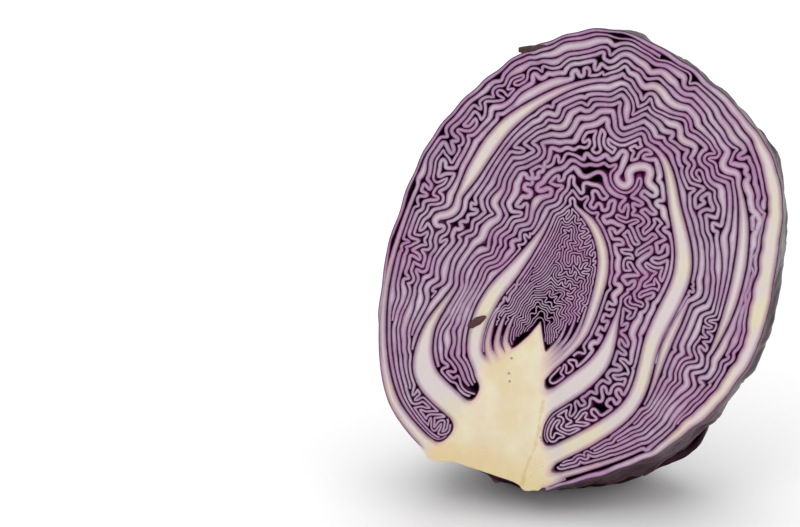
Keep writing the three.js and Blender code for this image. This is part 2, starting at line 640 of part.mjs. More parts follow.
// The core: half-round slices between its left and right edge, up to the growing tip. With a margin it
// is the same shape a little larger all round, which stands ahead of the cut face too.
function coreRings(margin) {
  const rings = new Rings();
  const around = 10;
  const front = margin > 0 ? [-1.5] : [];
  const slices = CORE_LEFT.slice(0, -1).map((left, n) => {
    const right = CORE_RIGHT[n];
    const middle = left.clone().add(right).multiplyScalar(0.5);
    if (n === 0) middle.y -= 2 * margin;
    const half = right.clone().sub(left).multiplyScalar(0.5);
    half.multiplyScalar(1 + margin / half.length());
    const arc = Array.from({ length: around + 1 }, (_, i) => {
      const angle = (Math.PI * i) / around;
      const p = middle.clone().addScaledVector(half, Math.cos(angle));
      return new THREE.Vector3(p.x, Math.sin(angle) * half.length() * 0.9, p.y);
    });
    const ahead = front.flatMap((y) => [arc[around], arc[0]].map((end) => end.clone().setY(y)));
    return rings.add([...arc, ...ahead].map(stood));
  });
  slices.slice(1).forEach((far, i) => rings.wall(slices[i], far));
  const tip = rings.add([stood(new THREE.Vector3(TIP.x, -margin, TIP.y + 2 * margin))])[0];
  const last = slices[slices.length - 1];
  last.forEach((a, i) => rings.faces.push([a, last[(i + 1) % last.length], tip]));
  const base = slices[0];
  base.slice(1, -1).forEach((_, i) => rings.faces.push([base[0], base[i + 2], base[i + 1]]));
  return rings;
}

function coreSolid() {
  const { corners, faces } = coreRings(0);
  placed.push({ name: "core", corners, faces, skin: corners.map(() => false), material: FLESH });
}

// The back leaf wraps the back of the head like a bowl, from a wavy rim to the pole.
// It is attached behind the stem, where its rim comes lowest and its midrib starts.
const stemFoot = CORE_LEFT[0].clone().add(CORE_RIGHT[0]).multiplyScalar(0.5).sub(TIP);
const STEM_ANGLE = Math.atan2(stemFoot.y, stemFoot.x);
const RIM_FLARE = 0.4; // how far its rim turns outward

// A point of the head's skin, in a direction from the growing tip and at a depth
function skinPoint(angle, depth) {
  const ray = new THREE.Vector2(Math.cos(angle), Math.sin(angle));
  return stood(carriedBack(TIP.clone().addScaledVector(ray, reachAt(angle)), depth));
}

// The way out of the head at such a point
function outwardAt(angle, depth) {
  const on = skinPoint(angle, depth);
  const deeper = skinPoint(angle, Math.min(depth + 0.01, 1)).sub(on);
  const beside = skinPoint(angle - 0.01, depth).sub(on);
  const outward = deeper.cross(beside).normalize();
  const fromTip = on.clone().sub(stood(new THREE.Vector3(TIP.x, 0, TIP.y)));
  return outward.dot(fromTip) < 0 ? outward.negate() : outward;
}

function backLeafSolid() {
  const { around, rows, thickness, clear } = BACK_LEAF;
  const rings = new Rings();
  const rimWaves = waves(FOLD_SEED + 80, 1.9, 4);
  const layer = (lift, share) =>
    Array.from({ length: around }, (_, i) => {
      const angle = -(i / around) * 2 * Math.PI;
      const fromStem = Math.abs(Math.atan2(Math.sin(angle - STEM_ANGLE), Math.cos(angle - STEM_ANGLE)));
      const nearStem = Math.exp(-((fromStem / 0.42) ** 2));
      const wavyRim = BACK_LEAF.rim + 0.05 * rimWaves(Math.cos(angle), Math.sin(angle));
      const rim = THREE.MathUtils.lerp(wavyRim, BACK_LEAF.rimAtStem, nearStem);
      const depth = rim + (1 - rim) * share;
      const ridge = Math.exp(-((fromStem / (0.16 + 0.25 * share)) ** 2)) * (1 - share) ** 0.7;
      const rib = lift > clear ? BACK_LEAF.rib * ridge : 0;
      const flare = share === 0 ? RIM_FLARE : 0;
      return skinPoint(angle, depth).addScaledVector(outwardAt(angle, depth), lift + rib + flare);
    });
  const swell = swellAt(HEAD_DEPTH);
  const pole = (lift) => {
    const centre = new THREE.Vector3(TIP.x + BULGE.x * swell, HEAD_DEPTH + lift, TIP.y + BULGE.y * swell);
    return rings.add([stood(centre)])[0];
  };
  const shares = Array.from({ length: rows }, (_, i) => Math.sin((i / rows) * (Math.PI / 2)));
  const outer = shares.map((share) => rings.add(layer(clear + thickness, share)));
  const inner = shares.map((share) => rings.add(layer(clear, share)));
  const outerPole = pole(clear + thickness);
  const innerPole = pole(clear);
  outer.slice(1).forEach((far, i) => rings.wall(outer[i], far));
  inner.slice(1).forEach((far, i) => rings.wall(far, inner[i]));
  rings.wall(inner[0], outer[0]);
  const lastOuter = outer[rows - 1];
  const lastInner = inner[rows - 1];
  lastOuter.forEach((a, i) => rings.faces.push([a, lastOuter[(i + 1) % around], outerPole]));
  lastInner.forEach((a, i) => rings.faces.push([lastInner[(i + 1) % around], a, innerPole]));
  const skin = rings.corners.map((_, i) => i < around * rows || i === outerPole);
  placed.push({ name: "back_leaf", corners: rings.corners, faces: rings.faces, skin, material: OUTSIDE });
}

// Build

const lines = grownLines().map((line) => simplified(line).map((k) => ({ ...k })));
const halves = fittedHalves(lines);
LEAVES.forEach((leaf, i) => {
  const outermost = leaf.level === 0;
  const inside = leaf.level < 0.2 ? WRAPPER_DEPTHS : INNER_DEPTHS;
  const sides = ribbonSides(lines[i], halves[i]);
  const material = outermost ? OUTSIDE : BLADE;
  const resting = leaf.name === "outer_leaf_right";
  leafSolid(leaf.name, sides, outermost ? OUTER_DEPTHS : inside, material, resting);
});
coreSolid();
backLeafSolid();

// Rest: the lowest outside is pressed flat, and the layers above it give way a little
const lowest = Math.min(...placed.flatMap(({ corners }) => corners.map((v) => v.z)));
const floor = lowest + FLAT_REST;
function pressed(v, skin) {
  const height = v.z - floor;
  const given = REST_LIFT * Math.max(0, 1 - Math.max(height, 0) / REST_LIFT_HEIGHT);
  return v.setZ(skin ? Math.max(height, 0) : height + given);
}
for (const { corners, skin } of placed) corners.forEach((v, i) => pressed(v, skin[i]));

// Set the origin under the middle of the whole object
const bounds = new THREE.Box3().setFromPoints(placed.flatMap(({ corners }) => corners));
const middle = bounds.getCenter(new THREE.Vector3()).setZ(0);

function geometryOf(corners, faces) {
  const geometry = new THREE.BufferGeometry();
  const positions = corners.flatMap((v) => v.toArray());
  geometry.setAttribute("position", new THREE.Float32BufferAttribute(positions, 3));
  geometry.setIndex(faces.flat());
  return geometry;
}

function solidOf(geometry) {
  const merged = mergeVertices(geometry, 1e-4);
  const vertProperties = merged.attributes.position.array;
  const triVerts = new Uint32Array(merged.index.array);
  return new wasm.Manifold(new wasm.Mesh({ numProp: 3, vertProperties, triVerts }));
}

function meshFrom(solid) {
  const { vertProperties, triVerts } = solid.getMesh();
  const geometry = new THREE.BufferGeometry();
  geometry.setAttribute("position", new THREE.BufferAttribute(new Float32Array(vertProperties), 3));
  geometry.setIndex(new THREE.BufferAttribute(new Uint32Array(triVerts), 1));
  return geometry;
}

const cabbage = new THREE.Group();
for (const { name, corners, faces, material } of placed) {
  const mesh = new THREE.Mesh(geometryOf(corners.map((v) => v.sub(middle)), faces), material);
  mesh.name = name;
  cabbage.add(mesh);
}

// Cut each leaf that grows from the core back to the core's surface
const core = cabbage.getObjectByName("core");
const larger = coreRings(CORE_CLEAR);
const cutter = solidOf(geometryOf(larger.corners.map((v) => pressed(v, false).sub(middle)), larger.faces));
for (const mesh of cabbage.children) {
  if (mesh === core) continue;
  const cut = solidOf(mesh.geometry).subtract(cutter);
  const pieces = cut.decompose().sort((a, b) => b.volume() - a.volume());
  mesh.geometry = meshFrom(pieces[0]);
}

export default cabbage;
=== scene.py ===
"""Looks of the halved red cabbage: its folded leaves, core and waxy outside, with floor, light and camera.

Lengths are in millimetres on the cut face (x to the right, y up, as it is seen) until row_frame() turns them
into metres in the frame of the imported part.
"""

import math

import bpy
import numpy as np
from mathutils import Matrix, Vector, kdtree


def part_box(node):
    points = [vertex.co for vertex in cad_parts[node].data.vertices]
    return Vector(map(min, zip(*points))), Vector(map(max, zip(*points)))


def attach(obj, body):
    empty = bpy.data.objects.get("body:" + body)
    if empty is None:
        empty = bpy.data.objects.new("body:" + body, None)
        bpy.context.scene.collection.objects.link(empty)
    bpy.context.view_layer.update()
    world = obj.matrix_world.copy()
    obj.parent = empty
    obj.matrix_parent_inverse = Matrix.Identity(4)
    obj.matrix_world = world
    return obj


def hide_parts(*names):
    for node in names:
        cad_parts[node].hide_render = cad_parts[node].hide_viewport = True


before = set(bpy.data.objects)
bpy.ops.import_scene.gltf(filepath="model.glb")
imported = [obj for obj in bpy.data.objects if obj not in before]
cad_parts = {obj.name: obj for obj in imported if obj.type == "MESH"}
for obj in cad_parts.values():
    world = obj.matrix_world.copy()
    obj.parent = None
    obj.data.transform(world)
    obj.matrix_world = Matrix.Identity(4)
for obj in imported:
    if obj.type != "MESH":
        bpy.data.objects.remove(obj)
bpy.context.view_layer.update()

# Head, as in the part's source. Each shell runs from the left foot over the crown to the right foot.
HEAD_DEPTH = 74.0
LEAN_BACK = math.radians(11)
BULGE = np.array([3.5, -4.0])
SAG, SAG_ANGLE, SAG_WIDTH = 0.12, math.radians(-60), math.radians(34)
BULGE_DEPTH = 0.5
REST_LIFT, REST_LIFT_HEIGHT = 3.4, 28.0
SEED = 12
STATIONS = 12
SHELLS = np.array([
    [[-52.2, -72.6], [-68.5, -53], [-73.7, -23.3], [-70, 8.1], [-55.6, 45.2], [-27.4, 74.1], [6.7, 85.9],
     [43.7, 68.1], [67.8, 39.6], [69.6, 6.3], [61.1, -32.6], [31.9, -65.9], [-12.6, -84.4]],
    [[-44.4, -53], [-55.2, -41.9], [-54.4, -26.3], [-44.4, -9.6], [-35.2, 8.1], [-25.9, 34.1], [3, 52.6],
     [27, 44.4], [34.1, 23], [37.8, 0], [28.1, -25.2], [19.3, -53], [-10.7, -74.1]],
    [[-34.4, -38.5], [-37, -32.2], [-35.6, -22.2], [-31.1, -11.9], [-23, -1.5], [-15.2, 9.6], [-7.8, 24.1],
     [0.4, 20.4], [5.9, 12.6], [8.1, 2.2], [5.9, -11.1], [0.4, -26.3], [-12.2, -40]],
    [[-24.4, -30.7], [-25.2, -27.4], [-23.7, -22.2], [-21.5, -17.8], [-19.3, -15.2], [-16.7, -13.3],
     [-13.7, -12.6], [-10.7, -13.7], [-8.5, -15.9], [-7, -18.9], [-7, -23], [-8.9, -27.4], [-12.2, -31.9]],
])
CORE_LEFT = np.array([[-52.2, -73], [-48.1, -66.7], [-43, -60.4], [-38.5, -53], [-35.2, -45.6],
                      [-32.6, -39.3], [-27.8, -34.1], [-23, -30.4], [-18.5, -25.9], [-14.4, -20.7]])
CORE_RIGHT = np.array([[-13.3, -84.8], [-9.6, -80], [-10.7, -74.1], [-11.9, -67.8], [-12.2, -60.4],
                       [-13, -53], [-12.6, -45.6], [-12.6, -38.1], [-12.2, -31.9], [-14.4, -20.7]])
TIP = CORE_LEFT[-1]

# Growth of the folds
ROUNDS, STEPS = 8, 110
RATE, BEND = 0.5, 0.4  # how fast a blade lengthens, and how stiff it is
TIGHTEST, PRESSED = 0.4, 0.35  # the squeeze and the pressure that stop it
HASTE, JITTER, LONGEST_MOVE = 1.6, 0.009, 0.4  # of each step towards rest
SPACING = 0.75  # between the points of a line
SEARCH = 4.4  # leaves farther apart than this don't touch
THICKEST = 1.1  # what a vein along the cut adds to the half thickness

# The grid that the room for the leaves is kept on
GRID = 0.5
FACE_WIDE, FACE_HIGH = 84, 94  # how far it reaches each way
RIB_CELLS = 18  # how many cells away a rib is felt
CORE_FROM_TIP, CORE_NEAR = [-8, -30], 60  # the middle and radius of the part that the core is in

# The core's flesh runs on into the petioles that touch it
FOOT_POINTS, TOUCHING = 40, 1.5
ROOTED, FILLET = 6.5, 5.0


# Numbers and noise

def random_from(seed):
    """The same seeded draws as the part's source."""
    state = seed

    def draw():
        nonlocal state
        state = (state + 0x6D2B79F5) & 0xFFFFFFFF
        mixed = ((state ^ (state >> 15)) * (1 | state)) & 0xFFFFFFFF
        mixed = ((mixed + (((mixed ^ (mixed >> 7)) * (61 | mixed)) & 0xFFFFFFFF)) ^ mixed) & 0xFFFFFFFF
        return ((mixed ^ (mixed >> 14)) & 0xFFFFFFFF) / 4294967296

    return draw


def skin_waves(seed, wavelength, count=6):
    draw = random_from(seed)
    parts = []
    for _ in range(count):
        angle = draw() * 2 * math.pi
        rate = 2 * math.pi * (0.7 + 0.8 * draw()) / wavelength
        parts.append((math.cos(angle) * rate, math.sin(angle) * rate, draw() * 2 * math.pi))
    return lambda x, y: sum(np.sin(a * x + b * y + c) for a, b, c in parts) / math.sqrt(count * 2)


def noise(points, size, seed, count=8):
    """Smooth noise of about -1 to 1 at points of any dimension: plane waves near one wavelength."""
    rng = np.random.default_rng(seed)
    total = 0
    for _ in range(count):
        way = rng.normal(size=points.shape[1])
        way *= 2 * math.pi / size * (0.7 + 0.8 * rng.random()) / np.linalg.norm(way)
        total = total + np.sin(points @ way + rng.random() * 2 * math.pi)
    return total / math.sqrt(2 * count)


def smoothstep(x, low, high):
    t = np.clip((x - low) / (high - low), 0, 1)
    return t * t * (3 - 2 * t)


def spline(points, share):
    """Points along a smooth curve through the given ones, share 0 to 1."""
    n = len(points) - 1
    place = np.clip(share, 0, 1) * n
    i = np.minimum(place.astype(int), n - 1)
    t = (place - i)[:, None]
    p0, p1, p2, p3 = (points[np.clip(i + k, 0, n)] for k in (-1, 0, 1, 2))
    square = (2 * p0 - 5 * p1 + 4 * p2 - p3) * t**2
    cube = (3 * p1 - p0 - 3 * p2 + p3) * t**3
    return 0.5 * (2 * p1 + (p2 - p0) * t + square + cube)


def unit(v):
    return v / np.maximum(np.linalg.norm(v, axis=-1, keepdims=True), 1e-9)


# Leaves on the cut face

TIP_EDGE = np.r_[np.linspace(CORE_LEFT[-3], TIP, 7), np.linspace(TIP, CORE_RIGHT[-2], 7)[1:]]


def face_points(level, station):
    """Points of the cut face at a level between the shells; above the last shell they close in on the tip."""
    share = station / STATIONS
    inside = np.clip(share, 0, 1)

    def at(s):
        shells = np.array([spline(shell, s) for shell in SHELLS])
        low = np.clip(level, 0, 2.9999)
        i = low.astype(int)
        f = (low - i)[:, None]
        k = np.arange(len(s))
        p = shells[i, k] * (1 - f) + shells[i + 1, k] * f
        closing = np.clip(level - 3, 0, 0.95)[:, None]
        return p + (spline(TIP_EDGE, s) - p) * closing

    place = at(inside)
    slope = (at(np.abs(inside - 0.01)) - place) / 0.01
    return place - slope * np.abs(share - inside)[:, None]


LEAVES = []


def leaf(node, level, start, end, half, growth, ribs=(), right=None):
    """One leaf: level at its feet, stations of its ends, half thickness, how much it grows, and its ribs."""
    LEAVES.append(dict(node=node, level=level, right=level if right is None else right, start=start, end=end,
                       half=half, growth=growth, ribs=ribs))


def list_leaves():
    """The leaves from the outside in. A rib is its two stations and its half thickness along them."""
    leaf("outer_leaf_right", 0, 5.2, 11.9, 0.8, 0,
         [(5.2, 11.9, [0.6, 0.7, 0.9, 1.6, 2.8, 3.5, 3.2, 2.2, 1.3, 0.8])])
    leaf("outer_leaf_left", 0, 0.05, 6.5, 0.7, 0, [(0.05, 5.1, [0.55, 0.6, 0.7, 0.7, 0.7])])
    leaf("wrapper_leaf_left", 0.07, -0.1, 10.9, 0.85, 0.08,
         [(-0.1, 3.6, [3.0, 2.2, 1.6, 1.2, 0.9])], right=0.22)
    starts = [0.45, 1.9, 0.8, 0.6, 1.1, 0.7, 1.6, 2.4, 1.2]
    ends = [12.2, 11.75, 11.55, 11.45, 11.2, 11.3, 11.0, 11.3, 10.8]
    growths = [0.6, 0.8, 1.1, 1.35, 1.35, 1.35, 1.35, 1.35, 1]
    outer_ribs = {0: [(11.1, 12.2, [0.9, 1.3, 1.7, 1.9])],
                  2: [(8.0, 10.0, [0.9, 2, 2.4, 2.1, 0.9])],
                  4: [(3.9, 6.0, [1.2, 2.8, 3.1, 2.7, 1.9, 1.3, 0.9])],
                  8: [(9.4, 10.8, [0.9, 1.8, 1.9, 1.2, 0.5])]}
    for k in range(9):
        share = (k + 0.5) / 9
        leaf(f"leaf_{min(k // 2, 3) + 1:02d}", 0.1 + 0.83 * share, starts[k], ends[k], 0.86, growths[k],
             outer_ribs.get(k, ()), right=0.27 + 0.67 * share)
    leaf("petiole_leaf_left", 0.97, -1.1, 10.2, 0.95, 0.3,
         [(-1.1, 3.0, [4.6, 4.4, 4.6, 5, 4.9, 4.4, 3.2, 2.2, 1.5, 1.0])])
    leaf("petiole_leaf_right", 1.07, 1.0, 12.3, 0.95, 0.3,
         [(6.9, 12.3, [1.0, 2.1, 2.7, 3.4, 3.5, 3.1, 3, 3.6, 4.2])])
    starts, ends = [0.1, 0.3, 0.15, 0.25, 0.1], [11.7, 11.5, 11.85, 12.3, 11.9]
    for k in range(5):
        ribs = [(10, 12.3, [0.9, 2.2, 3.6, 4.2, 3.8, 4.0])] if k == 3 else ()
        leaf(f"leaf_{5 + k // 2:02d}", 1.14 + 0.74 * (k + 0.5) / 5, starts[k], ends[k], 0.82, 1.1, ribs)
    leaf("heart_leaf_left", 1.95, -0.3, 11.1, 0.75, 0.2, [(-0.3, 5.4, [3.8, 3.0, 3.1, 3.4, 3.1, 2.1, 0.8])])
    leaf("heart_leaf_right", 2.05, 0.8, 12.3, 0.75, 0.2, [(6.5, 12.3, [0.8, 1.8, 2.2, 2.3, 2, 1.6, 1.3])])
    for k, level in enumerate((2.32, 2.6, 2.86)):
        left, right = (1.6, 1.45, 1.3)[k], (1.15, 1.05, 0.95)[k]
        leaf(f"heart_leaf_{k + 1:02d}", level, -0.2, 12.2, 0.42, 0.6 - 0.2 * k,
             [(-0.2, 2.5, [left, left, left * 0.9, left * 0.7, 0.5]),
              (10.0, 12.2, [0.5, right * 0.8, right, right])])
    for k in range(11):
        share = (k + 0.5) / 11
        inner = max(0, share - 0.45) * 2.2
        leaf(f"heart_leaf_{min(1 + k // 4, 3):02d}", 2.16 + 1.74 * share, 1.9 + inner,
             10.5 - inner * 0.3, 0.52 - 0.17 * share, 0.9 * (1 - share) ** 1.2)
    for k in range(6):
        leaf(f"heart_leaf_{1 + k // 2:02d}", 2.24 + 0.125 * k, 4.2 + 0.1 * k, 7.9 - 0.1 * k,
             0.5 - 0.02 * k, 0.9)


def swellings(t, seed):
    """Where the knife ran along a vein: a few short lens-shaped thick stretches, 0 to 1."""
    rng = np.random.default_rng(seed)
    most = np.zeros(len(t))
    for _ in range(max(1, round((t[-1] - t[0]) * 1.2))):
        middle = t[0] + (t[-1] - t[0]) * (0.08 + 0.84 * rng.random())
        width = 0.08 + 0.3 * rng.random() ** 1.5
        most = np.maximum(most, (0.22 + 0.78 * rng.random() ** 2) * np.exp(-(((t - middle) / width) ** 2)))
    return most


def drawn(leaf, number):
    """A leaf's line before it grows. Columns: x, y, half thickness, fixed, strain, station."""
    t = np.linspace(leaf["start"], leaf["end"], 1201)
    half = np.full(len(t), float(leaf["half"]))
    fixed = np.zeros(len(t))
    if 0 < leaf["level"] < 1.9:
        uneven = noise(np.column_stack([t * 9, np.full(len(t), 37.0 * number)]), 12, 90 + number)
        half = half * (1 + 0.26 * uneven) + THICKEST * swellings(t, 500 + number)
        half *= 0.7 + 0.3 * np.clip(np.minimum(t - t[0], t[-1] - t) / 0.3, 0, 1)
    for start, end, widths in leaf["ribs"]:
        on = (t >= start) & (t <= end)
        half[on] = np.interp((t[on] - start) / (end - start) * (len(widths) - 1), range(len(widths)), widths)
        fixed[on] = 1
    level = leaf["level"] + (leaf["right"] - leaf["level"]) * np.clip(t / STATIONS, 0, 1)
    p = face_points(level, t)
    if leaf["level"] == 0:
        ahead = unit(face_points(0 * t, t + 0.02) - face_points(0 * t, t - 0.02))
        tucked = np.where(fixed > 0, 0, 2.3 * np.clip((t - 5.1) / 0.4, 0, 1))
        half = half * (1 + 0.2 * noise(p, 22, 95) + 0.08 * noise(p, 9, 96))
        dented = 0.45 * (1 + noise(p, 15, 97))
        p = p + np.stack([ahead[:, 1], -ahead[:, 0]], 1) * (half + dented + tucked)[:, None]
    return np.column_stack([p, half, fixed, np.ones(len(t)), t])


def respaced(line, spacing):
    """The same line with its points evenly spaced."""
    run = np.r_[0, np.cumsum(np.hypot(*np.diff(line[:, :2], axis=0).T))]
    count = max(3, int(round(run[-1] / spacing)))
    places = np.linspace(0, run[-1], count + 1)
    return np.column_stack([np.interp(places, run, line[:, k]) for k in range(line.shape[1])])


def segment_distance(points, line):
    best = np.full(len(points), 1e9)
    for a, b in zip(line[:-1], line[1:]):
        span = b - a
        t = np.clip(((points - a) @ span) / max(span @ span, 1e-9), 0, 1)
        best = np.minimum(best, np.hypot(*(points - a - t[:, None] * span).T))
    return best


def inside_polygon(points, polygon):
    x, y = points.T
    inside = np.zeros(len(points), bool)
    ring = np.r_[polygon, polygon[:1]]
    for (x0, y0), (x1, y1) in zip(ring[:-1], ring[1:]):
        if y0 != y1:
            inside ^= ((y0 > y) != (y1 > y)) & (x < (x1 - x0) * (y - y0) / (y1 - y0) + x0)
    return inside


OUTLINE = np.r_[spline(SHELLS[0], np.linspace(0, 1, 160)), CORE_RIGHT[:1], CORE_LEFT[:1]]
CORE_OUTLINE = np.r_[CORE_LEFT, CORE_RIGHT[-2::-1]]


def depth_inside(points, polygon):
    """Distance from the edge of an outline, negative outside it."""
    edge = segment_distance(points, np.r_[polygon, polygon[:1]])
    return edge * np.where(inside_polygon(points, polygon), 1, -1)


def on_core(points):
    if len(points) == 0:
        return False
    touching = segment_distance(points, CORE_OUTLINE).min() <= TOUCHING
    return touching or inside_polygon(points, CORE_OUTLINE).any()


def core_flesh(p, lines):
    """Distance into the flesh of the core and of the petiole roots that it runs on into."""
    core = depth_inside(p, CORE_OUTLINE)
    flesh = core
    for line in lines:
        for part in (line[:FOOT_POINTS], line[-FOOT_POINTS:]):
            part = part[part[:, 3] > 0.5]
            if not on_core(part[:, :2]):
                continue
            root = np.full(len(p), -99.0)
            for x, y, half in part[:, :3]:
                root = np.maximum(root, half - np.hypot(p[:, 0] - x, p[:, 1] - y))
            blend = np.maximum(FILLET - np.abs(flesh - root), 0) / FILLET
            blend = blend**2 * smoothstep(part[:, 2].max(), 0.6, 3) * smoothstep(core, -ROOTED, -ROOTED * 0.4)
            flesh = np.maximum(flesh, root) + blend * FILLET / 4
    return flesh, core


class Field:
    """Distance into the room that a blade may fill: inside the outline, off the core and off the ribs."""

    def __init__(self, lines):
        self.xs, self.ys = np.arange(-FACE_WIDE, FACE_WIDE, GRID), np.arange(-FACE_HIGH, FACE_HIGH, GRID)
        gx, gy = np.meshgrid(self.xs, self.ys, indexing="ij")
        p = np.stack([gx.ravel(), gy.ravel()], 1)
        near = np.hypot(*(p - TIP - CORE_FROM_TIP).T) < CORE_NEAR
        flesh, core = core_flesh(p[near], lines)
        self.flesh, self.core = np.full(len(p), -20.0), np.full(len(p), -20.0)
        self.flesh[near], self.core[near] = flesh, core
        room = np.minimum(depth_inside(p, OUTLINE), -self.flesh).reshape(gx.shape)
        self.flesh, self.core = self.flesh.reshape(gx.shape), self.core.reshape(gx.shape)
        for line in lines:
            for x, y, half in line[line[:, 3] > 0.5, :3]:
                i, j = int((x - self.xs[0]) / GRID), int((y - self.ys[0]) / GRID)
                near = tuple(slice(max(k - RIB_CELLS, 0), k + RIB_CELLS) for k in (i, j))
                room[near] = np.minimum(room[near], np.hypot(gx[near] - x, gy[near] - y) - half)
        self.room = room
        self.slope = np.gradient(room, GRID)

    def at(self, grid, p):
        fx = np.clip((p[:, 0] - self.xs[0]) / GRID, 0, len(self.xs) - 1.001)
        fy = np.clip((p[:, 1] - self.ys[0]) / GRID, 0, len(self.ys) - 1.001)
        i, j = fx.astype(int), fy.astype(int)
        a, b = fx - i, fy - j
        return (grid[i, j] * (1 - a) * (1 - b) + grid[i + 1, j] * a * (1 - b)
                + grid[i, j + 1] * (1 - a) * b + grid[i + 1, j + 1] * a * b)

    def away(self, p):
        way = np.stack([self.at(self.slope[0], p), self.at(self.slope[1], p)], 1)
        return way / np.maximum(np.hypot(*way.T), 0.3)[:, None]


def close_pairs(p, owner, free, cut):
    """Pairs of free points nearer than cut, but not near neighbours on one leaf."""
    cell = np.floor(p / cut).astype(np.int64)
    cell -= cell.min(0) - 1
    width = cell[:, 1].max() + 3
    key = cell[:, 0] * width + cell[:, 1]
    order = np.argsort(key, kind="stable")
    ranked = key[order]
    firsts, seconds = [], []
    for dx, dy in [(0, 0), (0, 1), (1, -1), (1, 0), (1, 1)]:
        target = key + dx * width + dy
        low = np.searchsorted(ranked, target, "left")
        count = np.searchsorted(ranked, target, "right") - low
        a = np.repeat(np.arange(len(p)), count)
        b = order[np.repeat(low, count) + np.arange(len(a)) - np.repeat(np.cumsum(count) - count, count)]
        if dx == 0 and dy == 0:
            keep = a < b
            a, b = a[keep], b[keep]
        firsts.append(a)
        seconds.append(b)
    a, b = np.concatenate(firsts), np.concatenate(seconds)
    keep = ~((owner[a] == owner[b]) & (np.abs(a - b) < 5)) & free[a] & free[b]
    a, b = a[keep], b[keep]
    keep = np.hypot(*(p[a] - p[b]).T) < cut
    return a[keep], b[keep]


def spacing_of(leaf):
    return SPACING * np.clip(leaf["half"] / 0.95, 0.5, 1)


def first_bend(p, free, field):
    """Bends the blades gently where there is room, so that the folds have where to start."""
    for n in range(4):
        fade = smoothstep(field.at(field.room, p), 1, 9) * 2.2 * free
        push = np.column_stack([noise(p, 20, 11 + n, 5), noise(p, 20, 31 + n, 5)])
        p = p + push * fade[:, None]
    return p


def grown_lines():
    """Every leaf's line, and the room for them: blades lengthen and fold until they press on each other."""
    lines = [respaced(drawn(leaf, n), spacing_of(leaf)) for n, leaf in enumerate(LEAVES)]
    field = Field(lines)
    rng = np.random.default_rng(SEED)
    for turn in range(ROUNDS + 1):
        growing = turn < ROUNDS
        if turn:
            lines = [respaced(line, spacing_of(leaf)) for line, leaf in zip(lines, LEAVES)]
        table = np.concatenate(lines)
        p, half, free = table[:, :2].copy(), table[:, 2], table[:, 3] < 0.5
        owner = np.concatenate([np.full(len(line), k) for k, line in enumerate(lines)])
        start = np.cumsum([0] + [len(line) for line in lines])
        if turn == 0:
            p = first_bend(p, free, field)
        p, strain = settled(p, half, free, owner, start, table[:, 4], field, growing, rng)
        lines = [np.column_stack([p[a:b], table[a:b, 2:4], strain[a:b], table[a:b, 5]])
                 for a, b in zip(start[:-1], start[1:])]
    return lines, field


def settled(p, half, free, owner, start, strain, field, growing, rng):
    """One round of growth: where the points come to rest, and how stretched the leaves are there."""
    n = len(p)
    growth = np.array([leaf["growth"] for leaf in LEAVES])[owner]
    patchy = 1.2 + 1.4 * noise(p, 42, SEED + 3, 6)
    patchy = patchy + 0.5 * noise(p + np.outer(owner, [17.3, -9.1]), 30, SEED + 5, 6)
    ready = np.clip(patchy, 0, 1.8) * growth * 1.2 * np.clip(2.2 - half * 1.38, 0.1, 1)
    near_rib = np.zeros(n, bool)
    for a, b in zip(start[:-1], start[1:]):
        if not free[a:b].all():
            near_rib[a:b] = np.convolve(~free[a:b], np.ones(9), "same") > 0
    low = np.nonzero(owner[:-1] == owner[1:])[0]
    high = low + 1
    rest = np.hypot(*(p[high] - p[low]).T) * (strain[low] + strain[high]) / 2
    stiff = ~free[low] & ~free[high]
    mid = np.arange(1, n - 1)
    mid = mid[(owner[mid - 1] == owner[mid]) & (owner[mid + 1] == owner[mid])]

    def count(index):
        return np.bincount(index, minlength=n)

    fixed_weight = count(low) + count(high) + BEND * (2 * count(mid) + count(mid - 1) + count(mid + 1))
    press = np.zeros(n)
    for step in range(STEPS):
        if step % 8 == 0:
            a, b = close_pairs(p, owner, free, SEARCH)
            touch = half[a] + half[b]
        push = np.zeros((n, 2))
        span = p[high] - p[low]
        length = np.hypot(*span.T) + 1e-9
        if growing:
            room = np.clip(1 - press / PRESSED, -0.2, 1) * ready
            slack = np.clip(1 - (rest / length - 1) / TIGHTEST, 0, 1)
            rest = rest * np.where(stiff, 1, 1 + RATE / STEPS * 0.5 * slack * (room[low] + room[high]))
        pull = ((length - rest) / length * 0.5)[:, None] * span
        bend = ((p[mid - 1] + p[mid + 1]) / 2 - p[mid]) * BEND
        gap = p[b] - p[a]
        apart = np.hypot(*gap.T) + 1e-9
        over = np.maximum(touch - apart, 0)
        hit = over > 0
        shove = (over / apart * 0.5)[:, None] * gap
        for axis in (0, 1):
            push[:, axis] += np.bincount(low, pull[:, axis], n) - np.bincount(high, pull[:, axis], n)
            for index, share in ((mid, 1.0), (mid - 1, -0.5), (mid + 1, -0.5)):
                push[:, axis] += np.bincount(index, bend[:, axis] * share, n)
            push[:, axis] += np.bincount(b, shove[:, axis], n) - np.bincount(a, shove[:, axis], n)
        weight = fixed_weight + count(a[hit]) + count(b[hit])
        move = push / weight[:, None] * HASTE + rng.normal(0, JITTER, (n, 2))
        into = np.clip(half - field.at(field.room, p + move), 0, 1)
        into[near_rib] = 0
        move += field.away(p + move) * into[:, None]
        move *= np.minimum(1, LONGEST_MOVE / np.maximum(np.hypot(*move.T), 1e-9))[:, None]
        p[free] += move[free]
        press = 0.9 * press + 0.1 * (np.bincount(a, over, n) + np.bincount(b, over, n) + into)
    length = np.hypot(*(p[high] - p[low]).T)
    stretch = np.clip(rest / length, 0.8, 1.5)
    ends = np.maximum(count(low) + count(high), 1)
    return p, (np.bincount(low, stretch, n) + np.bincount(high, stretch, n)) / ends


# From the cut face into the head

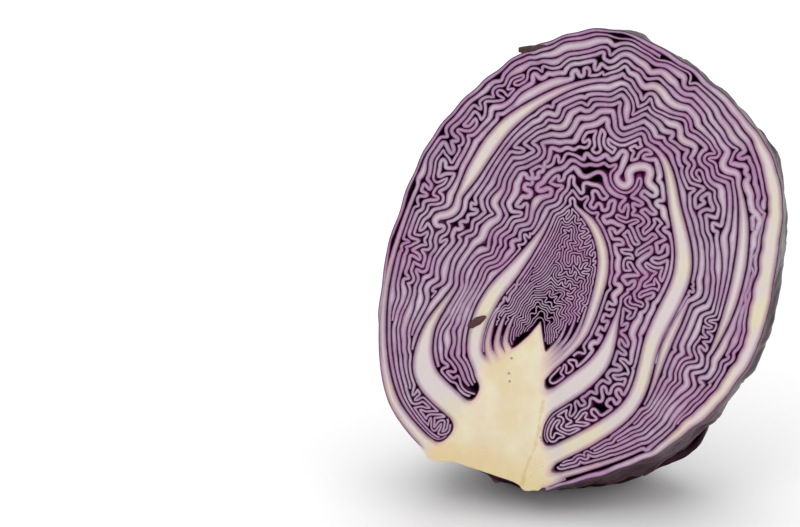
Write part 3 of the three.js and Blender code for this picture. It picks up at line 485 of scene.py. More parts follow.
def reach_table(count=720):
    """How far the outline lies from the tip, all the way round."""
    angles = np.arange(count) / count * 2 * math.pi
    ray = np.stack([np.cos(angles), np.sin(angles)], 1)
    least = np.full(count, 1e9)
    ring = np.r_[OUTLINE, OUTLINE[:1]]
    for a, b in zip(ring[:-1], ring[1:]):
        edge, away = b - a, a - TIP
        turn = ray[:, 0] * edge[1] - ray[:, 1] * edge[0]
        turn = np.where(np.abs(turn) < 1e-12, 1e-12, turn)
        distance = (away[0] * edge[1] - away[1] * edge[0]) / turn
        share = (away[0] * ray[:, 1] - away[1] * ray[:, 0]) / turn
        hit = (distance > 0) & (share >= 0) & (share <= 1)
        least[hit] = np.minimum(least[hit], distance[hit])
    return least


REACHES = reach_table()


def reach_at(angle):
    place = (angle / (2 * math.pi)) % 1 * len(REACHES)
    low = np.floor(place).astype(int) % len(REACHES)
    f = place - np.floor(place)
    return REACHES[low] * (1 - f) + REACHES[(low + 1) % len(REACHES)] * f


lumps_of = skin_waves(SEED + 60, 34)
fine_lumps_of = skin_waves(SEED + 61, 15)


def carried_back(p, depth):
    """Points of the cut face carried back into the head, as in the part's source: x, back, y."""
    away = p - TIP
    angle = np.arctan2(away[:, 1], away[:, 0])
    level = np.hypot(*away.T) / reach_at(angle)
    square = 2.75 - 0.6 * np.sin(angle)
    shrink = np.maximum(1 - depth**square, 0) ** (1 / square)
    across, upward = np.cos(angle) * 42 + depth * 60, np.sin(angle) * 42 - depth * 50
    lumps = lumps_of(across, upward) + 0.5 * fine_lumps_of(across, upward)
    lumpy = 1 + 0.016 * level * lumps * np.minimum(1, depth * 4)
    back = HEAD_DEPTH * level * depth * np.where(depth < 1, lumpy, 1)
    share = back / (HEAD_DEPTH * BULGE_DEPTH)
    swell = np.where(share < 1, share, 0.5 + 0.5 * np.cos(np.minimum((share - 1) * 2.4, math.pi)))
    sag = 1 + SAG * np.exp(-(((angle - SAG_ANGLE) / SAG_WIDTH) ** 2)) * swell
    flat = TIP + away * (shrink * lumpy * sag)[:, None] + BULGE * swell[:, None]
    return np.column_stack([flat[:, 0], back, flat[:, 1]])


def stood(v):
    """Leans the head back and makes z its height."""
    cos, sin = math.cos(LEAN_BACK), math.sin(LEAN_BACK)
    return np.column_stack([v[:, 0], v[:, 1] * cos + v[:, 2] * sin, v[:, 2] * cos - v[:, 1] * sin])


core_low, core_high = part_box("core")
MIDDLE = np.array([CORE_RIGHT[:, 0].max() - core_high.x * 1000,
                   CORE_RIGHT[0, 1] * math.sin(LEAN_BACK) - core_low.y * 1000])
FLOOR = TIP[1] * math.cos(LEAN_BACK) - core_high.z * 1000


def row_frame(v, skin=0.0):
    """Stands points up, presses the resting spot flat and gives metres. skin is 1 on the outermost leaf."""
    v = stood(v)
    height = v[:, 2] - FLOOR
    given = height + REST_LIFT * np.maximum(0, 1 - np.maximum(height, 0) / REST_LIFT_HEIGHT)
    z = np.maximum(height, 0) * skin + given * (1 - skin)
    return np.column_stack([v[:, 0] - MIDDLE[0], v[:, 1] - MIDDLE[1], np.maximum(z, 0)]) / 1000


# Meshes

def placed(made, node):
    """Links a piece, lets it ride on the only body and stand in for a node of the part."""
    bpy.context.scene.collection.objects.link(made)
    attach(made, "root")
    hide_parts(node)


def give_attributes(mesh, attributes):
    for key, values in attributes.items():
        layer = mesh.attributes.new(key, "FLOAT", "POINT")
        layer.data.foreach_set("value", np.asarray(values, np.float32))


def mesh_object(name, verts, quads, tris, attributes, material):
    mesh = bpy.data.meshes.new(name)
    quads = np.asarray(quads, np.int32).reshape(-1, 4)
    tris = np.asarray(tris, np.int32).reshape(-1, 3)
    mesh.vertices.add(len(verts))
    mesh.vertices.foreach_set("co", np.asarray(verts, np.float32).ravel())
    mesh.loops.add(4 * len(quads) + 3 * len(tris))
    mesh.loops.foreach_set("vertex_index", np.r_[quads.ravel(), tris.ravel()].astype(np.int32))
    mesh.polygons.add(len(quads) + len(tris))
    first = np.r_[np.arange(len(quads)) * 4, 4 * len(quads) + np.arange(len(tris)) * 3]
    mesh.polygons.foreach_set("loop_start", first.astype(np.int32))
    mesh.polygons.foreach_set("use_smooth", np.ones(len(quads) + len(tris), bool))
    give_attributes(mesh, attributes)
    mesh.update(calc_edges=True)
    mesh.validate()
    mesh.materials.append(material)
    return bpy.data.objects.new(name, mesh)


def tube_quads(rows, ring):
    """Quads between rings of points: rows rings of ring points each, every ring closed."""
    i = np.arange(rows - 1)[:, None]
    j = np.arange(ring)[None, :]
    a, b = i * ring + j, i * ring + (j + 1) % ring
    return np.stack([a, b, b + ring, a + ring], -1).reshape(-1, 4)


def end_fans(rows, ring):
    """Triangles that close both ends of such a tube."""
    fan = np.arange(1, ring - 1)
    start = np.column_stack([0 * fan, fan, fan + 1])
    end = np.column_stack([0 * fan, fan + 1, fan]) + (rows - 1) * ring
    return np.r_[start, end]


def polished(line, passes):
    """The grown line a little smoother, with its ends kept."""
    line = line.copy()
    for _ in range(passes):
        line[1:-1, :2] += 0.25 * (line[:-2, :2] - 2 * line[1:-1, :2] + line[2:, :2])
    for _ in range(6):
        line[1:-1, 2] += 0.25 * (line[:-2, 2] - 2 * line[1:-1, 2] + line[2:, 2])
    return line


def squares(p):
    """Unit normals of a line, to its left, that is outward, with a small mitre at bends."""
    ahead = unit(np.r_[p[1:] - p[:-1], p[-1:] - p[-2:-1]])
    into = np.r_[ahead[:1], ahead[:-1]]
    mean = unit(ahead + into)
    stretch = np.minimum(1 / np.maximum((mean * ahead).sum(1), 0.6), 1.3)
    return np.column_stack([-mean[:, 1], mean[:, 0]]) * stretch[:, None]


# The rounded edges of a cut leaf: how far in from its skin, and how far behind the cut
FRONT_SKIN = [0.0, 0.1, 0.3]
FRONT_BACK = [0.42, 0.17, 0.04]
WALL_DEPTHS = np.array([0.012, 0.035, 0.08, 0.16, 0.3, 0.58, 1.0]) * 0.5
LEAF_GAP, THINNEST = 0.06, 0.2  # taken off each half thickness, and the least that is left


def wander(p, back):
    """Sideways drift of the folds behind the cut, the same for every leaf, none at the outermost ones."""
    away = p - TIP
    level = np.hypot(*away.T) / reach_at(np.arctan2(away[:, 1], away[:, 0]))
    fade = smoothstep(1 - level, 0.05, 0.22) * smoothstep(level, 0.03, 0.15) * (1 - np.exp(-back / 3.5))
    spot = np.column_stack([p, back * 0.8])
    return np.column_stack([noise(spot, 24, 71), noise(spot, 24, 72)]) * (4.0 * fade)[:, None]


def front_edge(half):
    """The rounded edge of a cut leaf: how far off its line, how deep in from its skin, how far back."""
    skins = [np.minimum(skin, half * 0.9) for skin in FRONT_SKIN]
    return [(half - skin, skin, back) for skin, back in zip(skins, FRONT_BACK)]


def leaf_section(line):
    """One leaf as a closed ring of points at each place along its line, with their attributes."""
    p, half = line[:, :2], np.maximum(line[:, 2] - LEAF_GAP, THINNEST)
    square = squares(p)
    rings, skins, sides, backs = [], [], [], []

    def add(across, skin, side, depth, extra):
        flat = p + square * across[:, None]
        v = carried_back(flat, np.full(len(p), depth))
        if depth > 0:
            drift = wander(flat, v[:, 1])
            v[:, 0] += drift[:, 0]
            v[:, 2] += drift[:, 1]
        v[:, 1] += extra
        rings.append(v)
        skins.append(np.ones(len(p)) * skin)
        sides.append(np.full(len(p), side))
        backs.append(v[:, 1])

    for depth in WALL_DEPTHS[::-1]:
        add(half, -1.0, 1, depth, FRONT_BACK[0])
    for across, skin, back in front_edge(half):
        add(across, skin, 1, 0.0, back)
    add(half * 0, half, 0, 0.0, 0.0)
    for across, skin, back in front_edge(half)[::-1]:
        add(-across, skin, -1, 0.0, back)
    for depth in WALL_DEPTHS:
        add(-half, -1.0, -1, depth, FRONT_BACK[0])
    stack = np.stack(rings, 1)
    return stack, np.stack(skins, 1), np.stack(sides, 1), np.stack(backs, 1)


# Cross-section of a scrap: across in half widths, and back from the cut
SCRAP_SECTION = [(-1, 1.6), (-1, 0.3), (-0.8, -0.1), (0, -0.3), (0.8, -0.1), (1, 0.3), (1, 1.6)]


def build_scrap(name, path, widths, ahead, material, node):
    """A small withered bit of leaf that sticks out of the cut."""
    share = np.linspace(0, 1, 25)
    half = np.interp(share, np.linspace(0, 1, len(widths)), widths)
    half *= 1 + 0.15 * noise(np.column_stack([share * 20, share * 0]), 7, 98)
    line = np.column_stack([spline(np.array(path, float), share), half])
    square = squares(line[:, :2])
    rings = []
    for across, y in SCRAP_SECTION:
        p = line[:, :2] + square * (half * across)[:, None]
        rough = 0.15 * noise(p, 2.5, 99)
        rings.append(np.column_stack([p[:, 0], y - ahead * (0.4 + share) + rough, p[:, 1]]))
    stack = np.stack(rings, 1)
    rows, ring = stack.shape[:2]
    verts = row_frame(stack.reshape(-1, 3))
    made = mesh_object(name, verts, tube_quads(rows, ring), end_fans(rows, ring), {}, material)
    placed(made, node)


def build_leaf(node, lines, material, seed):
    """All the leaves of a node, each with its cut edge and the walls that run back into the head."""
    verts, quads, tris, first = [], [], [], 0
    columns = {"skin": [], "bare": [], "back": [], "rib": [], "tone": []}
    rng = np.random.default_rng(seed)
    for line in lines:
        line = polished(line, 2)
        stack, skin, side, back = leaf_section(line)
        loose = np.convolve(line[:, 3] < 0.5, np.ones(15) / 15, "same")
        stack[:, :, 1] += (0.3 * (1 + noise(line[:, :2], 15, seed)) * loose)[:, None]
        rows, ring = stack.shape[:2]
        verts.append(stack.reshape(-1, 3))
        quads.append(tube_quads(rows, ring)[:, ::-1] + first)
        tris.append(end_fans(rows, ring) + first)
        swollen = 0.5 * smoothstep(line[:, 2], 1.1, 2.0)
        rib = np.where(line[:, 3] > 0.5, smoothstep(line[:, 2], 0.8, 1.5), swollen)
        rib = np.repeat(rib[:, None], ring, 1)
        skin = np.where(skin > 0, skin * np.clip(1.0 / line[:, 2], 1, 2.6)[:, None], skin)
        columns["skin"].append(skin.ravel())
        columns["bare"].append(side.ravel() * (node == "wrapper_leaf_left"))
        columns["back"].append(back.ravel())
        columns["rib"].append(rib.ravel())
        columns["tone"].append(np.full(rows * ring, rng.random() * min(1, line[:, 2].max() * 1.2)))
        first += rows * ring
    attributes = {key: np.concatenate(values) for key, values in columns.items()}
    made = mesh_object(node + "_folds", row_frame(np.concatenate(verts)), np.concatenate(quads),
                       np.concatenate(tris), attributes, material)
    placed(made, node)


# The outside

DISK = 110.0  # radius of the laid-flat dome
VEIN_STEP = 1.5


def disk_of(angle, depth):
    """The dome laid flat round its pole, in mm: the rim of the cut is a circle."""
    rho = np.arccos(np.clip(depth, 0, 1)) / (math.pi / 2) * DISK
    return np.column_stack([np.cos(angle) * rho, np.sin(angle) * rho])


class Veins:
    """A tree of veins on the laid-flat dome, as close points with a width each."""

    def __init__(self, seed):
        self.rng = np.random.default_rng(seed)
        self.points, self.widths = [], []

    def grow(self, start, heading, length, width, side, level):
        count = max(int(length / VEIN_STEP), 3)
        p, way = np.array(start, float), heading
        turn = -side * self.rng.uniform(0.25, 0.6) / count
        next_branch, branch_side = self.rng.uniform(6, 12), 1
        run = 0.0
        for n in range(count):
            share = n / count
            w = width * (1 - 0.75 * share)
            self.points.append(p.copy())
            self.widths.append(w)
            way += turn + self.rng.normal(0, 0.05)
            p += VEIN_STEP * np.array([math.cos(way), math.sin(way)])
            run += VEIN_STEP
            if level < 3 and run > next_branch:
                branch_side = -branch_side
                next_branch = run + [8.5, 9, 7][level] * self.rng.uniform(0.7, 1.3)
                reach = length * [0.55, 0.45, 0.4][level] * (1 - 0.55 * share) * self.rng.uniform(0.7, 1.1)
                angle = way + branch_side * self.rng.uniform(0.7, 1.0)
                self.grow(p, angle, reach, w * 0.55, branch_side, level + 1)

    def ready(self):
        self.tree = kdtree.KDTree(len(self.points))
        for i, (x, y) in enumerate(self.points):
            self.tree.insert((x, y, 0), i)
        self.tree.balance()
        return self

    def at(self, disk):
        """How much of a vein is at each point: width-wide rounded ridges."""
        height, mark = np.zeros(len(disk)), np.zeros(len(disk))
        for i, (x, y) in enumerate(disk):
            for _, n, far in self.tree.find_n((x, y, 0), 3):
                w = self.widths[n]
                rise = w * math.exp(-((far / (w * 1.1 + 0.25)) ** 2))
                height[i] = max(height[i], rise)
                mark[i] = max(mark[i], min(w, 1) * math.exp(-((far / (w * 0.7 + 0.3)) ** 2)))
        return height, mark


def relief(v, disk, veins):
    """Height of the outside above its smooth shape: puckers between veins, soft folds, and the veins."""
    ridge, mark = veins.at(disk)
    spot = v.reshape(-1, 3)
    pucker = noise(spot, 9, 41) * 0.3 + noise(spot, 5, 42) * 0.13
    fold = np.abs(noise(spot * [1, 0.45, 0.55], 22, 43))
    crease = -0.8 * np.exp(-((fold / 0.08) ** 2)) * smoothstep(noise(spot, 34, 45), -0.5, 0.3)
    broad = 0.9 * noise(spot * [1, 0.6, 0.6], 20, 44)
    height = pucker + crease + broad + ridge * 0.55
    return height, mark, np.exp(-((fold / 0.1) ** 2))


def normals_of(grid, closed=False):
    """Outward normals of a grid of points that may close on itself."""
    if closed:
        along = np.roll(grid, -1, 0) - np.roll(grid, 1, 0)
    else:
        along = np.gradient(grid, axis=0)
    down = np.gradient(grid, axis=1)
    n = unit(np.cross(along, down))
    centre = np.array([0, 25, 0])
    return n * np.sign(((grid - centre) * n).sum(-1, keepdims=True))


OUTER_ROWS, INNER_ROWS = 46, 12
OUTER_DEPTH = 0.86
DEEPEST = 1.5  # how deep the relief of an outer leaf may sink, in half thicknesses
OVER_PETIOLE = 0.5  # how far an outer leaf stays off a petiole that it lies on, in mm


def reach_over(p, square, half, petiole):
    """How far out of its line a leaf has to reach to lie over the thick petiole of the leaf below."""
    reach = half.copy()
    out = unit(square)
    for x, y, thick in petiole:
        away = np.array([x, y]) - p
        along = (away * out).sum(1)
        chord = thick**2 - ((away**2).sum(1) - along**2)
        near = chord > 0
        reach[near] = np.maximum(reach[near], along[near] + np.sqrt(chord[near]) + OVER_PETIOLE)
    return reach


def build_outer_leaf(node, line, material, veins, pressed_flat, petiole=()):
    """An outermost leaf: its cut edge, its wrinkled outside with veins, and its plain inside."""
    line = polished(line, 1)
    p, half = line[:, :2], line[:, 2]
    square = squares(p)
    over = reach_over(p, square, half, petiole)
    along = len(p)
    outer_depths = OUTER_DEPTH * np.linspace(0, 1, OUTER_ROWS + 1)[1:] ** 1.25
    inner_depths = OUTER_DEPTH * np.linspace(0, 1, INNER_ROWS + 1)[1:]
    edge = p + square * half[:, None]
    away = edge - TIP
    angle = np.arctan2(away[:, 1], away[:, 0])
    outer = []
    for d in outer_depths:
        lifted = half + (over - half) * smoothstep(d * HEAD_DEPTH, 0.3, 4)
        outer.append(carried_back(p + square * lifted[:, None], np.full(along, d)) + [0, FRONT_BACK[0], 0])
    outer = np.stack(outer, 1)
    disk = np.concatenate([disk_of(angle, np.full(along, d)) for d in outer_depths])
    disk = disk.reshape(OUTER_ROWS, along, 2).transpose(1, 0, 2)
    height, mark, crease = relief(outer, disk.reshape(-1, 2), veins)
    height = height.reshape(along, -1)
    deepest = DEEPEST * half[:, None]
    height = np.where(height < 0, -deepest * np.tanh(-height / deepest), height)
    fade = smoothstep(outer[:, :, 1], 0.5, 9)
    outer = outer + normals_of(outer) * (height * fade)[:, :, None]
    inner = np.stack([carried_back(p - square * half[:, None], np.full(along, d)) + [0, FRONT_BACK[0], 0]
                      for d in inner_depths], 1)
    front = front_edge(half)
    face = front + [(half * 0, half, 0.0)] + [(-across, s, b) for across, s, b in front[::-1]]
    front_rings = [carried_back(p + square * a[:, None], np.zeros(along)) + [0, b, 0] for a, s, b in face]
    stack = np.concatenate([outer[:, ::-1], np.stack(front_rings, 1), inner], 1)
    ring = stack.shape[1]
    outer_part, face_part, inner_part = (np.ones((along, n)) for n in (OUTER_ROWS, len(face), INNER_ROWS))
    skin = np.concatenate([-outer_part, np.stack([s for _, s, _ in face], 1), -inner_part], 1)
    outside = np.concatenate([outer_part, 0 * face_part, -inner_part], 1)

    def on_outside(values):
        return np.concatenate([values.reshape(along, OUTER_ROWS)[:, ::-1], 0 * face_part, 0 * inner_part], 1)

    depths = np.r_[outer_depths[::-1], np.zeros(len(face)), inner_depths]
    pressed = smoothstep(0.34 - depths, 0, 0.08)[None] * (outside > -0.5) * pressed_flat
    rib = np.repeat(smoothstep(half, 1.0, 2.2)[:, None], ring, 1)
    attributes = {"skin": skin.ravel(), "outside": outside.ravel(), "vein": on_outside(mark).ravel(),
                  "crease": on_outside(crease).ravel(), "rib": rib.ravel(), "back": stack[:, :, 1].ravel(),
                  "tone": np.full(along * ring, 0.5)}
    made = mesh_object(node + "_skin", row_frame(stack.reshape(-1, 3), pressed.ravel()),
                       tube_quads(along, ring)[:, ::-1], end_fans(along, ring), attributes, material)
    placed(made, node)


BACK_AROUND, BACK_ROWS = 420, 110
STEM_ANGLE = math.atan2(*((CORE_LEFT[0] + CORE_RIGHT[0]) / 2 - TIP)[::-1])
BACK_CLEAR, BACK_THICK, RIM, RIM_AT_STEM, RIB_HEIGHT = 1.2, 1.7, 0.52, 0.3, 2.4
CAP_ROWS, INSIDE_STEP = 16, 10  # level rows at the pole, and outside rows to one inside row
POLE_SMOOTH, POLE_LUMPY = 10, 42  # the lumps fade between these distances from the pole


def calmed(grid):
    """The rings of a dome with their lumps faded towards the pole, where they would pinch together."""
    waves = np.fft.rfft(grid, axis=0)
    waves[3:] = 0
    waves[1:, :, 1] = 0
    smooth = np.fft.irfft(waves, len(grid), axis=0)
    centre = grid.mean(0)
    radius = np.hypot(*(grid - centre)[:, :, [0, 2]].transpose(2, 0, 1)).mean(0)
    calm = 1 - smoothstep(radius, POLE_SMOOTH, POLE_LUMPY)
    return grid + (smooth - grid) * calm[None, :, None]


def build_back_leaf(material, veins):
    """The leaf that cups the back, from its wavy rim to the pole."""
    angle = -np.arange(BACK_AROUND) / BACK_AROUND * 2 * math.pi
    rim_waves = skin_waves(SEED + 80, 1.9, 4)
    turn = angle - STEM_ANGLE
    from_stem = np.abs(np.arctan2(np.sin(turn), np.cos(turn)))
    near_stem = np.exp(-((from_stem / 0.42) ** 2))
    ray = np.column_stack([np.cos(angle), np.sin(angle)])
    frill = 0.022 * noise(ray, 0.7, 93) + 0.01 * noise(ray, 0.25, 91) + 0.004 * noise(ray, 0.09, 92)
    rim = (RIM + 0.05 * rim_waves(*ray.T)) * (1 - near_stem) + RIM_AT_STEM * near_stem + frill
    foot = TIP + ray * reach_at(angle)[:, None]

    def layer(shares, lift, ribbed):
        grid = calmed(np.stack([carried_back(foot, rim + (1 - rim) * s) for s in shares], 1))
        normal = normals_of(grid, closed=True)
        rib = [np.exp(-((from_stem / (0.16 + 0.25 * s)) ** 2)) * (1 - s) ** 0.7 for s in shares]
        return grid, normal, lift + RIB_HEIGHT * np.stack(rib, 1) * ribbed

    shares = np.sin(np.linspace(0, 0.995, BACK_ROWS) * math.pi / 2)
    grid, normal, lift = layer(shares, BACK_CLEAR + BACK_THICK, 1)
    disk = np.stack([disk_of(angle, rim + (1 - rim) * s) for s in shares], 1)
    height, mark, crease = relief(grid, disk.reshape(-1, 2), veins)
    height = height.reshape(BACK_AROUND, -1)
    cap = smoothstep(np.arange(BACK_ROWS), BACK_ROWS - CAP_ROWS, BACK_ROWS - 4)[None]
    height = height * (1 - cap) + height[:, -CAP_ROWS:].mean() * cap
    normal = unit(normal * (1 - cap)[..., None] + normal[:, -CAP_ROWS].mean(0) * cap[..., None])
    off_rim = smoothstep(np.arange(BACK_ROWS), -3, 16)[None]
    outer = grid + normal * (lift * (0.3 + 0.7 * off_rim) + height)[:, :, None]
    inner_shares = shares[::INSIDE_STEP]
    inner_grid, inner_normal, inner_lift = layer(inner_shares, BACK_CLEAR, 0)
    inner_off = smoothstep(np.arange(len(inner_shares)) * INSIDE_STEP, 2, 22)[None]
    inner_lift = inner_lift * (0.05 + 0.95 * inner_off) + height[:, ::INSIDE_STEP] * 0.9
    inner = inner_grid + inner_normal * inner_lift[..., None]
    pole = outer[:, -1].mean(0)
    inner_pole = inner[:, -1].mean(0)
    stack = np.concatenate([outer[:, ::-1], inner], 1)
    ring = stack.shape[1]
    count = BACK_AROUND * ring
    here = np.arange(count).reshape(BACK_AROUND, ring)
    there = np.roll(here, -1, 0)
    quads = np.stack([here[:, :-1], there[:, :-1], there[:, 1:], here[:, 1:]], -1)
    poles = np.full((BACK_AROUND, 2), [count, count + 1])
    tris = np.r_[np.column_stack([here[:, 0], poles[:, 0], there[:, 0]]),
                 np.column_stack([here[:, -1], there[:, -1], poles[:, 1]])]
    inner_part = np.ones((BACK_AROUND, len(inner_shares)))
    outside = np.concatenate([np.ones((BACK_AROUND, BACK_ROWS)), -inner_part], 1)

    def on_outside(values):
        values = values.reshape(BACK_AROUND, BACK_ROWS)[:, ::-1]
        return np.r_[np.concatenate([values, 0 * inner_part], 1).ravel(), 0, 0]

    verts = np.r_[stack.reshape(-1, 3), [pole], [inner_pole]]
    flags = np.r_[outside.ravel(), 1, -1]
    attributes = {"skin": np.full(count + 2, -1.0), "outside": flags, "vein": on_outside(mark),
                  "crease": on_outside(crease), "rib": np.zeros(count + 2), "back": verts[:, 1],
                  "tone": np.full(count + 2, 0.5)}
    verts = row_frame(verts, (flags > 0) * 1.0)
    placed(mesh_object("back_leaf_skin", verts, quads, tris, attributes, material), "back_leaf")


# The core

CORE_ROWS, CORE_AROUND = 60, 20
CORE_HEIGHT, CORE_WALL = 64, 20.0
FAR = 9.0  # farther from any speck or streak than its mark reaches
CORE_SPECKS = np.array([[-24.4, -34.8], [-25.2, -40.4], [-24.8, -43.3], [-12.8, -63.3], [-12.4, -64.4]])
CORE_STREAK = np.array([[-12.4, -50], [-13.4, -58], [-14.4, -66], [-17.2, -74], [-19, -83]])


def cut_cells(values, xs, ys):
    """The part of a grid where values are above 0, as polygons clipped where the value passes 0."""
    verts, faces, index = [], [], {}

    def vertex(key, x, y):
        if key not in index:
            index[key] = len(verts)
            verts.append((x, y))
        return index[key]

    corners = [values[:-1, :-1], values[1:, :-1], values[1:, 1:], values[:-1, 1:]]
    for i, j in np.argwhere(np.maximum.reduce(corners) > 0):
        ring = [(i, j), (i + 1, j), (i + 1, j + 1), (i, j + 1)]
        face = []
        for (a, b), (c, d) in zip(ring, ring[1:] + ring[:1]):
            here, there = values[a, b], values[c, d]
            if here > 0:
                face.append(vertex((a, b), xs[a], ys[b]))
            if (here > 0) != (there > 0):
                t = here / (here - there)
                key = (min((a, b), (c, d)), max((a, b), (c, d)))
                face.append(vertex(key, xs[a] + (xs[c] - xs[a]) * t, ys[b] + (ys[d] - ys[b]) * t))
        if len(face) >= 3:
            faces.append(face)
    return np.array(verts), faces


def build_core(material, field):
    """The core: its cut face with the roots of the petioles, walls behind that, and its half-round back."""
    shown = np.minimum(field.flesh, field.core + ROOTED)
    flat, faces = cut_cells(shown, field.xs, field.ys)
    skin = np.maximum(field.at(field.flesh, flat), 0)
    from_core = -field.at(field.core, flat)
    base = CORE_RIGHT[0] - CORE_LEFT[0]
    up = np.array([-base[1], base[0]]) / np.hypot(*base)
    above_base = (flat - CORE_LEFT[0]) @ up
    edge = np.where(above_base < 3, np.maximum(skin, 3 - above_base), skin)
    bevel = FRONT_BACK[0] * np.clip(1 - skin / 0.42, 0, 1) ** 2
    verts = [np.column_stack([flat[:, 0], bevel, flat[:, 1]])]
    open_edges = {}
    for face in faces:
        for a, b in zip(face, face[1:] + face[:1]):
            if open_edges.pop((b, a), None) is None:
                open_edges[(a, b)] = True
    count = len(flat)
    for back in (bevel, np.full(count, CORE_WALL / 4), np.full(count, CORE_WALL)):
        verts.append(np.column_stack([flat[:, 0], back, flat[:, 1]]))
    walls = [(b + k * count, a + k * count, a + (k + 1) * count, b + (k + 1) * count)
             for a, b in open_edges for k in (1, 2)]
    first = 4 * count
    share = np.linspace(0, 1, CORE_ROWS)
    arc = np.linspace(0, math.pi, CORE_AROUND)
    rows = []
    for a, b in zip(spline(CORE_LEFT, share), spline(CORE_RIGHT, share)):
        middle, half = (a + b) / 2, (b - a) / 2
        around = middle + np.cos(arc)[:, None] * half
        rows.append(np.column_stack([around[:, 0], 0.6 + np.sin(arc) * np.hypot(*half) * 0.9, around[:, 1]]))
    verts.append(np.concatenate(rows))
    round_quads = tube_quads(CORE_ROWS, CORE_AROUND) + first
    tris = end_fans(1, CORE_AROUND)[CORE_AROUND - 2:] + first  # at the stem; the other end is the tip
    verts = np.concatenate(verts)
    rest = len(verts) - count
    behind = rest - 3 * count
    speck = np.hypot(*(flat[:, None] - CORE_SPECKS).transpose(2, 0, 1)).min(1)
    attributes = {"skin": np.r_[edge, np.full(rest, -1.0)], "back": verts[:, 1],
                  "rib": np.ones(len(verts)), "tone": np.full(len(verts), 0.2),
                  "root": np.r_[smoothstep(from_core, -1, 5), np.ones(3 * count), np.zeros(behind)],
                  "height": np.r_[above_base / CORE_HEIGHT, np.zeros(rest)],
                  "beside": np.r_[segment_distance(flat, CORE_STREAK), np.full(rest, FAR)],
                  "speck": np.r_[speck, np.full(rest, FAR)],
                  "body": np.r_[np.ones(count), np.zeros(3 * count), np.ones(behind)]}
    mesh = bpy.data.meshes.new("core_flesh_cut")
    every = [tuple(reversed(face)) for face in faces] + walls + round_quads.tolist() + tris.tolist()
    mesh.from_pydata(row_frame(verts).tolist(), [], every)
    give_attributes(mesh, attributes)
    mesh.polygons.foreach_set("use_smooth", np.ones(len(every), bool))
    mesh.materials.append(material)
    placed(bpy.data.objects.new("core_flesh_cut", mesh), "core")


# Materials

def rgb(red, green, blue):
    """A colour given as it looks, 0 to 255, as the linear values that shaders take."""
    def linear(c):
        c /= 255
        return c / 12.92 if c <= 0.04045 else ((c + 0.055) / 1.055) ** 2.4
    return (linear(red), linear(green), linear(blue), 1)


class Shader:
    """A small help for building one material's nodes."""

    def __init__(self, name):
        self.material = bpy.data.materials.new(name)
        self.material.use_nodes = True
        self.tree = self.material.node_tree
        self.main = self.tree.nodes["Principled BSDF"]

    def node(self, kind, **inputs):
        made = self.tree.nodes.new(kind)
        for key, value in inputs.items():
            self.put(value, made.inputs[key])
        return made

    def put(self, value, socket):
        if isinstance(value, bpy.types.NodeSocket):
            self.tree.links.new(value, socket)
        else:
            socket.default_value = value

    def attribute(self, name):
        made = self.tree.nodes.new("ShaderNodeAttribute")
        made.attribute_name = name
        return made.outputs["Fac"]

    def noise(self, scale, detail, rough=0.5):
        place = self.tree.nodes.new("ShaderNodeTexCoord").outputs["Object"]
        return self.node("ShaderNodeTexNoise", Scale=scale, Detail=detail, Roughness=rough,
                         Vector=place).outputs["Fac"]

    def math(self, operation, a, b=0.0, clamp=False):
        made = self.tree.nodes.new("ShaderNodeMath")
        made.operation = operation
        made.use_clamp = clamp
        self.put(a, made.inputs[0])
        self.put(b, made.inputs[1])
        return made.outputs[0]

    def map(self, value, low, high, to_low=0.0, to_high=1.0):
        made = self.tree.nodes.new("ShaderNodeMapRange")
        made.interpolation_type = "SMOOTHSTEP"
        keys = ("Value", "From Min", "From Max", "To Min", "To Max")
        for key, given in zip(keys, (value, low, high, to_low, to_high)):
            self.put(given, made.inputs[key])
        return made.outputs["Result"]

    def patches(self, scale, detail, low, high, most=1.0):
        """Soft patches of noise, from 0 to most."""
        return self.map(self.noise(scale, detail), low, high, 0.0, most)

    def mix(self, factor, a, b):
        made = self.tree.nodes.new("ShaderNodeMix")
        made.data_type = "RGBA"
        self.put(factor, made.inputs[0])
        self.put(a, made.inputs[6])
        self.put(b, made.inputs[7])
        return made.outputs[2]

    def bump(self, height, strength, distance):
        made = self.node("ShaderNodeBump", Strength=strength, Distance=distance, Height=height)
        return made.outputs["Normal"]

    def glow(self, weight, scale, radius):
        """Light that spreads a little under the surface."""
        self.main.inputs["Subsurface Weight"].default_value = weight
        self.main.inputs["Subsurface Scale"].default_value = scale
        self.main.inputs["Subsurface Radius"].default_value = radius

    def surface(self, color, roughness, normal=None):
        self.put(color, self.main.inputs["Base Color"])
        self.put(roughness, self.main.inputs["Roughness"])
        if normal is not None:
            self.put(normal, self.main.inputs["Normal"])
        return self.material


